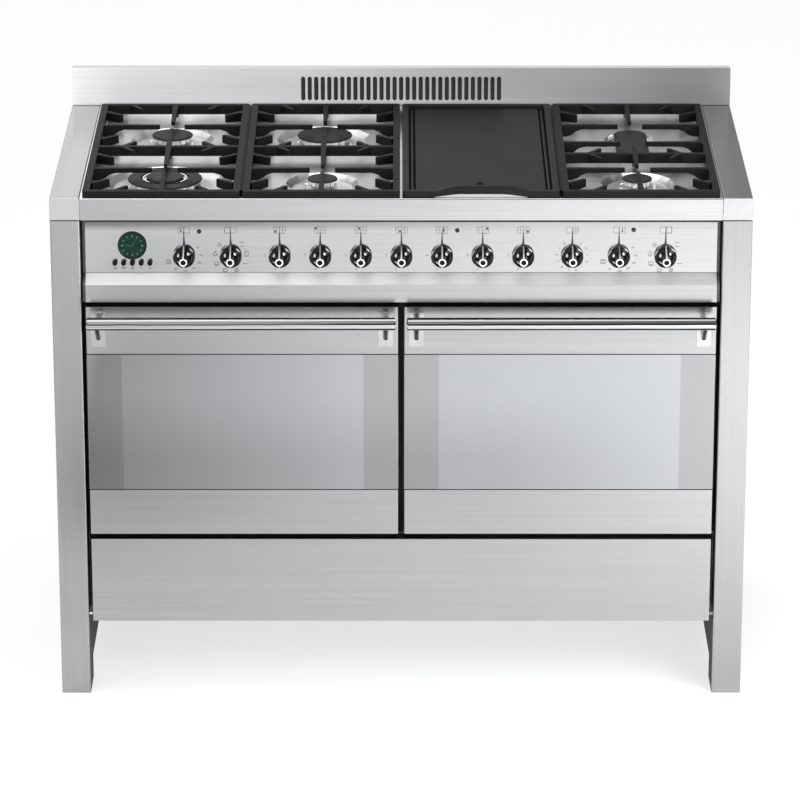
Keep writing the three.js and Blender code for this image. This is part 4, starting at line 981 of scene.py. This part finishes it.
# Ways of heating, and those that only the left oven has
FUNCTION_MARKS = (
    ("fan", -19, 20, 3.4), ("dash", 19.5, 24, 8), ("dash", 19.5, 17.2, 7),
    ("fan", -26.5, 4.2, 3.9), ("dash", -26.5, 0, 5), ("frame", -24.5, -13.2, 7.6, 4.6, 0.9),
    ("dash", -24.5, -17.2, 7.6), ("dash", 24.5, -13.8, 7.5), ("frame", -10, -25.6, 6.6, 5),
    ("dash", -10, -29.4, 7), ("frame", 9.8, -25.4, 5.4, 5.6), ("wave", 9.8, -25.8, 4),
)
LEFT_MARKS = (("frame", 27, 4, 6.4, 5.4), ("dash", 27, 9.2, 8), ("dash", 27, -1.2, 8))
MINUS = ("dash", 0, 0, 4)
BUTTON_MARKS = (
    # bell
    (("line", [(-2.6, -1.6), (-1.6, 1.4), (1.6, 1.4), (2.6, -1.6)], 0.8, True),),
    # pan
    (("line", [(-2.4, 1.4), (-1.9, -1.5), (1.9, -1.5), (2.4, 1.4)], 0.8),
     ("line", [(-3.1, 1.4), (3.1, 1.4)], 0.8)),
    # clock
    (("line", circle(2.3, steps=12), 0.75, True), ("line", [(0, 1.5), (0, 0), (1.2, 0)], 0.6)),
    (MINUS,),
    (MINUS, ("line", [(0, -2), (0, 2)], 0.7)),
)


def thermostat_marks(marks, u):
    """A thermometer in the picture at u, and temperatures round the knob."""
    marks.fill(circle(1.5, (u, PICTURE_RISE - 2.2), 12))
    marks.line([(u, PICTURE_RISE - 2), (u, PICTURE_RISE + 2.6)], 1.3)
    for degrees, turn in TEMPERATURES:
        angle = math.radians(turn)
        marks.figure(str(degrees), 28.5 * math.cos(angle), 27 * math.sin(angle), 3.4)
    marks.draw(GRILL_MARKS)


def timer_marks(marks, u):
    """A small clock in the picture at u, and minutes round the knob."""
    marks.line(circle(2.9, (u, PICTURE_RISE), 18), 0.5, True)
    marks.line([(u, PICTURE_RISE + 2), (u, PICTURE_RISE), (u + 1.4, PICTURE_RISE)], 0.5)
    for step in range(12):
        angle = math.radians(58 - 27 * step)
        across, up = math.cos(angle), math.sin(angle)
        if step % 2:
            marks.figure(str(5 * (step + 1)), 27 * across, 26.5 * up, 3.2)
        else:
            marks.line([(24.5 * across, 24.5 * up), (27.5 * across, 27.5 * up)], 0.7)


marks = Marks()
for name, x in KNOB_X.items():
    marks.at(x, KNOB_Z)
    marks.line([(0, 44.5), (0, 17.5)], 1.0, end_width=4.2)
    if "burner" in name or "griddle" in name:
        marks.draw(HOB_MARKS)
        if name in BURNER_DOTS:
            u, v = BURNER_DOTS[name]
            marks.fill(circle(1.9, (u, PICTURE_RISE + v), 14))
        marks.draw(FLAMES if name in BURNER_DOTS else PLATE_MARKS)
        continue
    here = math.copysign(PICTURE_HALF, x)
    marks.frame(here, PICTURE_RISE, 9.4, 11, 1.3, 0.9 if "function" in name else 0.55)
    marks.frame(-here, PICTURE_RISE, 9.4, 11, 1.3, 0.5)
    if "thermostat" in name:
        thermostat_marks(marks, here)
    elif "timer" in name:
        timer_marks(marks, here)
    else:
        marks.draw(FUNCTION_MARKS)
        if x < 0:
            marks.draw(LEFT_MARKS)
for x, rows in zip(BUTTON_X.values(), BUTTON_MARKS):
    marks.at(x, BUTTON_Z - 0.0104)
    marks.draw(rows)
marks.piece("panel_print", "cooker", "print")

PILOTS = (("left", -0.346, 0.849), ("griddle", 0.096, 0.851), ("right", 0.398, 0.852))
PILOT_RIM = ((3, -0.3), (4, 0), (4, 0.5), (3.6, 0.9), (3, 0.6))
PILOT_LENS = ((3.1, -0.2), (3, 0.6), (2.4, 1.2), (1.3, 1.6), (0.3, 1.7))
for name, x, z in PILOTS:
    place = (x, PANEL_Y, z)
    Shape().turned(PILOT_RIM, place, segments=32, closed=True).piece(
        f"pilot_rim_{name}", "cooker", "knob")
    Shape().turned(PILOT_LENS, place, segments=32).piece(
        f"pilot_lamp_{name}", "cooker", "lamp")

# ---- Panel: a dark strip of painted shade under the fascia, a dark strip of painted reflection at the ledge's crease, and the returns at both ends in dark steel as painted shade

PANEL_HALF = 0.5415
PANEL_HIGH = 0.8745
RETURN_INNER, RETURN_OUTER = PANEL_HALF + 0.0003, 0.5464
RETURN = ((-0.2484, PANEL_HIGH), (-0.2484, 0.7748), (-0.2684, 0.7588), (-0.2684, 0.7285),
          (-0.2440, 0.7285), (-0.2440, PANEL_HIGH))


def rectangle(u, low, high):
    """An outline from -u to u and from low to high."""
    return [(-u, low), (u, low), (u, high), (-u, high)]


# A dark strip under the fascia: painted shade
Shape().slab(rectangle(PANEL_HALF, 0.8658, PANEL_HIGH), 0.0, 0.0006, (0, PANEL_Y, 0)).piece(
    "panel_fascia_shade", "cooker", "shade_black", "rubber")
# A dark strip along the ledge's crease: painted reflection of the bend
Shape().slab(rectangle(PANEL_HALF, 0.7750, 0.7757), 0.0, 0.0003, (0, PANEL_Y, 0)).piece(
    "panel_crease_reflection", "cooker", "painted_shade_steel", "panel_steel")
# The returns at both ends in dark steel: painted shade
for name, near, far in (("left", -RETURN_OUTER, -RETURN_INNER),
                        ("right", RETURN_INNER, RETURN_OUTER)):
    Shape().slab(RETURN, near, far, plane="side").piece(
        f"panel_return_{name}", "cooker", "painted_shade_steel", "panel_steel")

# ---- Hob: flanges of the grates, the griddle's stop and beads, electrodes and flame sensors

WORKTOP = 0.9143
GRATE_TOP = 0.925
GRATE_FRONT, GRATE_BACK = -0.265, 0.288
SECTION_PITCH = 0.273
SECTION_HALF = 0.1345
FLANGE_START, FLANGE_WIDTH = 0.0021, 0.0032
STOP_PROFILE = ((0.080, 0.0), (0.066, 0.0022), (0.050, 0.0042), (0.036, 0.0052))
STOP_SPAN = (0.0042, 0.0012)  # from the grates' front edge inwards
BEAD_PROFILE = ((-0.0026, 0.0), (0.0026, 0.0), (0.0021, 0.0009), (0.0008, 0.0013),
                (-0.0008, 0.0013), (-0.0021, 0.0009))
BEAD_FOOT = 0.9181
BEAD_INSET, BEAD_END = 0.0175, 0.0145  # from the griddle's side, and from its front and back

for name, away in (("grate_1", -1), ("grate_4", 1)):
    # Low side wall that fills the gap to the next grate, cut back at the front
    outer = away * (SECTION_PITCH + FLANGE_START)
    inner = outer - away * FLANGE_WIDTH
    Shape().slab([(outer, GRATE_FRONT + 0.010), (inner, GRATE_FRONT + 0.016),
                  (inner, GRATE_BACK - 0.004), (outer, GRATE_BACK - 0.004)],
                 WORKTOP + 0.0012, GRATE_TOP - 0.0016, plane="top").piece(
        f"{name}_flange", name, "cast_iron", width=0.0003)
stop = [(u, WORKTOP + v) for u, v in STOP_PROFILE]
stop = [(-stop[0][0], stop[0][1]), *stop, *((-u, v) for u, v in reversed(stop[1:]))]
Shape().slab(stop, *(-GRATE_FRONT - inset for inset in STOP_SPAN),
             (SECTION_PITCH / 2, 0, 0)).piece(
    "griddle_stop", "cooker", "ledge_steel", "hob_steel")
for name, side in (("left", -1), ("right", 1)):
    x = SECTION_PITCH / 2 + side * (SECTION_HALF - BEAD_INSET)
    Shape().slab([(x + u, BEAD_FOOT + v) for u, v in BEAD_PROFILE], -(GRATE_BACK - BEAD_END),
                 -(GRATE_FRONT + BEAD_END)).piece(
        f"griddle_bead_{name}", "griddle", "griddle_iron", "cast_iron")

DISH_FLOOR = 0.8882
BURNER_GAP = 0.0045
ELECTRODE_TURN, SENSOR_TURN = -38, 212  # degrees round the burner
ELECTRODE_PROFILE = (
    (2.6, 0), (2.6, 3), (2.1, 3.6), (2.1, 10.5), (1.2, 11.8), (0.8, 12), (0.8, 15),
    (0.3, 15.4),
)
SENSOR_RADIUS = 0.0014
SENSOR_PATH = ((0.0, 0.0), (0.0, 0.009), (0.0006, 0.0115), (0.0022, 0.0130), (0.0060, 0.0136))
SENSOR_COLLAR = ((2.8, 0), (2.8, 4.2), (1.8, 4.8))
for name in BURNERS:
    low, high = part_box(f"burner_body_{name}")
    middle, half = (low + high) / 2, (high - low) / 2
    (electrode, _), (sensor, outward) = (
        ((middle.x + (half.x + BURNER_GAP) * u, middle.y + (half.y + BURNER_GAP) * v,
          DISH_FLOOR), (u, v))
        for u, v in (circle(1, start=turn)[0] for turn in (ELECTRODE_TURN, SENSOR_TURN)))
    Shape().turned(ELECTRODE_PROFILE, electrode, "z", 20).piece(
        f"electrode_{name}", "cooker", "ceramic", "burner_aluminium")
    # The sensor's rod is bent over towards the burner
    path = [(sensor[0] - reach * outward[0], sensor[1] - reach * outward[1], DISH_FLOOR + rise)
            for reach, rise in SENSOR_PATH]
    Shape().tube(path, SENSOR_RADIUS).turned(SENSOR_COLLAR, sensor, "z", 20).piece(
        f"flame_sensor_{name}", "cooker", "chrome")

# ---- Ovens: grill element under the roof, lamp and the fan cover's nut on the back wall

OVEN_BACK = 0.2065
GRILL_Z = 0.665
GRILL_HALF = 0.165
GRILL_RUNS = 5
GRILL_TURN = 0.120  # where its inner runs turn back
GRILL_LEAD = 0.030
GRILL_RADIUS, GRILL_BEND = 0.0033, 0.014
GRILL_FOOT = OVEN_BACK + 0.001
BRACKET_Y = (-0.12, 0.08)
BRACKET_HALF, BRACKET_HEIGHT, BRACKET_SHEET = 0.005, 0.0155, 0.0008
LAMP_SHIFT, LAMP_Z = 0.155, 0.640
LAMP_COLLAR = ((26, -1), (26, 6), (24.5, 8.5), (22.5, 9), (21.5, 8))
LAMP_DOME = ((21.2, 6), (20.6, 13), (18, 18.5), (13, 22.2), (7, 24), (1.5, 24.4))
FAN_Z = 0.5185
NUT_RADIUS, NUT_HEIGHT, NUT_DEPTH = 0.0070, 0.0050, 0.0122
NUT_STUD = ((3, 0), (3, 7.5), (2.2, 8.5))
FAN_LUGS = (0.080, 0.086)  # radii of the short bars round the cover
LUG_WIDTH, LUG_HEIGHT, LUG_DEPTH = 0.0040, 0.0012, 0.0105
FAN_SCREWS, FAN_SCREW_DEPTH = 0.079, 0.0115
FAN_SCREW = ((4.5, 0), (4.5, 1.2), (3.4, 2.6), (1.2, 3))


def bent(corners, radius, steps=4):
    """A path through corners, each rounded in its plane."""
    corners = [Vector(corner) for corner in corners]
    points = corners[:1]
    for before, corner, after in zip(corners, corners[1:], corners[2:]):
        arrive = (before - corner).normalized() * radius
        leave = (after - corner).normalized() * radius
        for step in range(steps + 1):
            t = step / steps
            points.append(corner + arrive * (1 - t) ** 2 + leave * t ** 2)
    return points + corners[-1:]


def grill_path(centre):
    """From one lead at the back, through runs along Y, to the other lead."""
    corners = [(-GRILL_LEAD, GRILL_FOOT), (-GRILL_LEAD, GRILL_HALF), (-GRILL_HALF, GRILL_HALF),
               (-GRILL_HALF, -GRILL_HALF)]
    for run in range(1, GRILL_RUNS + 1):
        x = -GRILL_HALF + 2 * GRILL_HALF / GRILL_RUNS * run
        ends = (-GRILL_HALF, GRILL_TURN) if run % 2 else (GRILL_TURN, -GRILL_HALF)
        corners += [(x, end) for end in ends]
    corners[-1] = (GRILL_HALF, GRILL_HALF)
    corners += [(GRILL_LEAD, GRILL_HALF), (GRILL_LEAD, GRILL_FOOT)]
    return bent([(centre + x, y, GRILL_Z) for x, y in corners], GRILL_BEND)


for name, centre in (("left", -DOOR_X), ("right", DOOR_X)):
    Shape().tube(grill_path(centre), GRILL_RADIUS, 10).piece(
        f"grill_{name}", "cooker", "element", degrees=60)
    brackets = Shape()
    for x in (centre - GRILL_HALF, centre + GRILL_HALF):
        for y in BRACKET_Y:
            brackets.slab(rectangle(BRACKET_HALF, 0.0, BRACKET_HEIGHT), -BRACKET_SHEET,
                          BRACKET_SHEET, (x, y, GRILL_Z + 0.0040))
    brackets.piece(f"grill_brackets_{name}", "cooker", "zinc", "chrome", width=0.0002)
    lamp = (centre + LAMP_SHIFT, OVEN_BACK, LAMP_Z)
    Shape().turned(LAMP_COLLAR, lamp).piece(f"lamp_collar_{name}", "cooker", "zinc", "chrome")
    Shape().turned(LAMP_DOME, lamp).piece(
        f"lamp_glass_{name}", "cooker", "lamp_glass", "inner_glass")
    nut = (centre, OVEN_BACK - NUT_DEPTH, FAN_Z)
    Shape().slab(circle(NUT_RADIUS, steps=6), 0.0, NUT_HEIGHT, nut).turned(
        NUT_STUD, nut, segments=20).piece(
        f"fan_nut_{name}", "cooker", "zinc", "chrome", width=0.0003)
    screws = Shape()
    for ends in zip(*(circle(radius, steps=8, start=33.5) for radius in FAN_LUGS)):
        screws.stroke(ends, LUG_WIDTH, 0.0, LUG_HEIGHT, (centre, OVEN_BACK - LUG_DEPTH, FAN_Z))
    for x, z in circle(FAN_SCREWS, (centre, FAN_Z), 4, 45):
        screws.turned(FAN_SCREW, (x, OVEN_BACK - FAN_SCREW_DEPTH, z), segments=20)
    screws.piece(f"fan_screws_{name}", "cooker", "zinc", "chrome")

# ---- Back: screws, cable gland's nut and the gas inlet's thread

BACK_Y = 0.3015
BOX_Y = 0.3236
SCREW_RADIUS, BOX_SCREW_RADIUS = 5.8, 3.6  # millimetres
SCREW_PROFILE = ((1, -0.3), (1, 1), (0.86, 2), (0.55, 2.6))  # (share of the radius, height)
SCREW_SLOT = (0.0009, 0.0024, 0.00275)  # width, and its span over the sheet
SCREW_ROWS = (0.860, 0.075)
SCREW_X = (-0.535, -0.36, -0.18, 0.0, 0.18, 0.36, 0.535)
SCREW_Z = (0.20, 0.33, 0.46, 0.59, 0.72)
BOX_SCREWS = ((-0.448, -0.312), (0.448, 0.524))
GLAND = (-0.380, 0.3125)
GLAND_NUT = (0.4335, 0.4405)
GLAND_RADIUS = 0.0118
GLAND_SLEEVE = ((9.8, -7), (9.8, 1), (8.8, 2))
GLAND_SLEEVE_Z = 0.4310
INLET_X, INLET_Z = 0.430, 0.800
INLET_RADIUS = 0.0148
INLET_NUT = 8  # millimetres, as the threads'
THREADS, THREAD_START, THREAD_PITCH = 6, 8.8, 2.4
THREAD_ROOT, THREAD_CREST = 10.8, 11.7


def screw(shape, x, z, y=BACK_Y, radius=SCREW_RADIUS):
    """Pan head with a cross, facing the back."""
    width, low, high = SCREW_SLOT
    shape.turned([(share * radius, height) for share, height in SCREW_PROFILE], (x, y, z), "y",
                 20)
    for path in (((-0.5, 0), (0.5, 0)), ((0, -0.5), (0, 0.5))):
        shape.stroke([(radius * MM * u, radius * MM * v) for u, v in path], width, low, high,
                     (x, y, z), "back")


screws = Shape()
for x in SCREW_X:
    for z in SCREW_ROWS:
        screw(screws, x, z)
for z in SCREW_Z:
    for x in (SCREW_X[0], SCREW_X[-1]):
        screw(screws, x, z)
for x in BOX_SCREWS[0]:
    for z in BOX_SCREWS[1]:
        screw(screws, x, z, BOX_Y, BOX_SCREW_RADIUS)
screws.piece("back_screws", "cooker", "zinc", "galvanised")
Shape().slab(circle(GLAND_RADIUS, steps=6), *GLAND_NUT, (*GLAND, 0), "top").turned(
    GLAND_SLEEVE, (*GLAND, GLAND_SLEEVE_Z), "z", 28).piece(
    "gland_nut", "cooker", "rubber", width=0.0004)
turns = []
for turn in range(THREADS):
    start = THREAD_START + THREAD_PITCH * turn
    turns += [(THREAD_ROOT, start), (THREAD_CREST, start + THREAD_PITCH / 2)]
inlet = (INLET_X, BACK_Y, INLET_Z)
Shape().slab(circle(INLET_RADIUS, steps=6), 0.0, INLET_NUT * MM, inlet, "back").turned(
    [(10.2, INLET_NUT), *turns, (10.4, 23.4)], inlet, "y", 40).piece(
    "gas_inlet_thread", "cooker", "brass", "chrome")

# ---- Upstand: a dark sheet behind its vents, painted shade inside them

VENT_SHADE_WIDTH, VENT_SHADE_HEIGHT, VENT_SHADE_CORNER = 0.46, 0.056, 0.004
VENT_SHADE_SPAN = (0.0048, 0.0028)  # behind the upstand's face
low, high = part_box("upstand")
Shape().slab(rounded_outline(VENT_SHADE_WIDTH, VENT_SHADE_HEIGHT, VENT_SHADE_CORNER, 3,
                             (0, (low.z + high.z) / 2 - 0.003)),
             *(-(low.y + depth) for depth in VENT_SHADE_SPAN)).piece(
    "upstand_vent_shade", "cooker", "shade_black", "dark_steel")

# ---- Floor and light

STAGE_RADIUS = 16.0
STAGE_HEIGHT = 14.0
STAGE_SIDES = 96
WHITE, BLACK = (1, 1, 1, 1), (0, 0, 0)
FLOOR_GLOW = 0.22  # a light table, as under a product on white
NOT_FOR_CAMERA = ("camera", "diffuse", "transmission", "volume_scatter", "shadow")
FOR_CAMERA_ONLY = ("diffuse", "glossy", "transmission", "volume_scatter", "shadow")


def stage_piece(name, bm, look, hidden_from=()):
    """A floor, screen or backdrop, which some kinds of ray don't see."""
    piece = mesh_object(name, bm)
    piece.data.materials.append(look.material)
    for kind in hidden_from:
        setattr(piece, f"visible_{kind}", False)
    piece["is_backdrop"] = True
    return piece


def disc(height=0.0):
    bm = bmesh.new()
    bmesh.ops.create_circle(bm, cap_ends=True, segments=STAGE_SIDES, radius=STAGE_RADIUS,
                            matrix=Matrix.Translation((0, 0, height)))
    return bm


floor_look = Look("floor", (0.86, 0.86, 0.865), roughness=0.75, Emission_Color=WHITE,
                  Emission_Strength=FLOOR_GLOW)
floor_look.vary_color(floor_look.noise(0.5, 2), (0.88, 0.88, 0.885))
floor_look.vary_roughness(floor_look.noise(30), 0.7, 0.8)
stage_piece("floor", disc(), floor_look)

# Light over the floor that only the camera sees, so that floor and shadow photograph pale
LIFT_HEIGHT = 0.0006
LIFT_SHARE = 0.55
lift_look = Look("floor_light", BLACK, roughness=1.0, Emission_Color=WHITE,
                 Emission_Strength=1.0)
lift_look.feed(lift_look.ranged(lift_look.noise(0.4, 1), LIFT_SHARE, LIFT_SHARE + 0.02),
               lift_look.shader.inputs["Alpha"])
stage_piece("floor_light", disc(LIFT_HEIGHT), lift_look, FOR_CAMERA_ONLY)

BACKDROP_GLOW = 1.03
backdrop_bm = bmesh.new()
bmesh.ops.create_cone(backdrop_bm, segments=STAGE_SIDES, radius1=STAGE_RADIUS,
                      radius2=STAGE_RADIUS, depth=STAGE_HEIGHT,
                      matrix=Matrix.Translation((0, 0, STAGE_HEIGHT / 2)))
bmesh.ops.reverse_faces(backdrop_bm, faces=backdrop_bm.faces)
backdrop_look = Look("backdrop", BLACK, roughness=0.9, Emission_Strength=BACKDROP_GLOW)
backdrop_look.feed(backdrop_look.ranged(backdrop_look.noise(0.3, 1), 0.97, 1.0),
                   backdrop_look.shader.inputs["Emission Color"])
shade(stage_piece("backdrop", backdrop_bm, backdrop_look, FOR_CAMERA_ONLY))

# A grey flag over the floor before the cooker, which only its reflections see
FLAG_SIZE = (2.6, 2.4)
FLAG_PLACE = (-0.70, -1.75, 0.004)
FLAG_TONE = 0.35
BAND_SHARE = 0.26
flag_bm = bmesh.new()
bmesh.ops.create_grid(flag_bm, x_segments=1, y_segments=1, size=0.5)
bmesh.ops.scale(flag_bm, vec=(*FLAG_SIZE, 1), verts=flag_bm.verts)
bmesh.ops.translate(flag_bm, vec=FLAG_PLACE, verts=flag_bm.verts)
flag_look = Look("flag", BLACK, roughness=1.0, Emission_Color=WHITE, Emission_Strength=FLAG_TONE)
flag_x, flag_y, _ = flag_look.split(flag_look.place)


def flag_product(*ramps):
    """The product of ramps, each an axis with its low, high, start and end."""
    total, *others = (flag_look.ranged(*ramp) for ramp in ramps)
    for other in others:
        total = flag_look.math("MULTIPLY", total, other)
    return total


flap_shade = flag_product((flag_x, 0.60, 0.0, -0.66, -0.10), (flag_y, 1, 0.2, -1.25, -0.95),
                          (flag_x, 0, 1, -0.70, -0.645))
band = flag_product((flag_y, 0, 1, -1.85, -1.45), (flag_y, 1, 0, -1.15, -0.90),
                    (flag_x, 1, 0, 0.2, 0.55))
density = flag_look.math("ADD", flap_shade, flag_look.math("MULTIPLY", band, BAND_SHARE))
flag_look.feed(flag_look.math("MULTIPLY", density, flag_look.ranged(flag_y, 0, 1, -2.95, -2.5)),
               flag_look.shader.inputs["Alpha"])
stage_piece("flag", flag_bm, flag_look, NOT_FOR_CAMERA)

STUDIO_DIM = 0.28
STUDIO_BRIGHT = 1.25
STUDIO_EDGE = 0.08  # half the width of the change from the bright half to the dim one
WALL_FOOT = 0.03  # heights, as sines, between which the dark wall turns into the bright sky
WALL_TOP = 0.24
WALL_SHARE = 0.06

EASED = {"interpolation_type": "SMOOTHSTEP"}

world = bpy.data.worlds.new("studio")
world.use_nodes = True
bpy.context.scene.world = world
sky = Nodes(world.node_tree)
x, _, z = sky.split(sky.node("ShaderNodeTexCoord").outputs["Generated"])
halves = sky.ranged(x, STUDIO_DIM, STUDIO_BRIGHT, STUDIO_EDGE, -STUDIO_EDGE, **EASED)
wall = sky.ranged(z, WALL_SHARE, 1.0, WALL_FOOT, WALL_TOP, **EASED)
background = sky.tree.nodes["Background"]
sky.feed(sky.math("MULTIPLY", halves, wall), background.inputs["Strength"])
background.inputs["Color"].default_value = WHITE

# Softboxes: name, place, aim, size in metres and power in watts
for name, place, aim, size, power in (
        ("front_right", (1.9, -1.9, 1.5), (1.5, -1.7, 0), (1.4, 1.4), 78),
        ("front_left", (-1.4, -6.0, 1.75), (-0.3, 0.3, 0.95), (2.4, 0.9), 50),
        ("far_right", (1.3, -3.5, 1.5), (0.95, -3.3, 0), (1.7, 0.9), 17),
        ("overhead", (0, -0.7, 3.2), (0, -0.6, 0), (2.4, 1.4), 26)):
    data = bpy.data.lights.new(name, "AREA")
    data.shape = "RECTANGLE"
    data.size, data.size_y = size
    data.energy = power
    light = bpy.data.objects.new(name, data)
    light.location = place
    light.rotation_euler = (Vector(aim) - Vector(place)).to_track_quat("-Z", "Y").to_euler()
    light.visible_camera = False
    bpy.context.scene.collection.objects.link(light)

# ---- Size of all that is shown, without the stage

low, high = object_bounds()
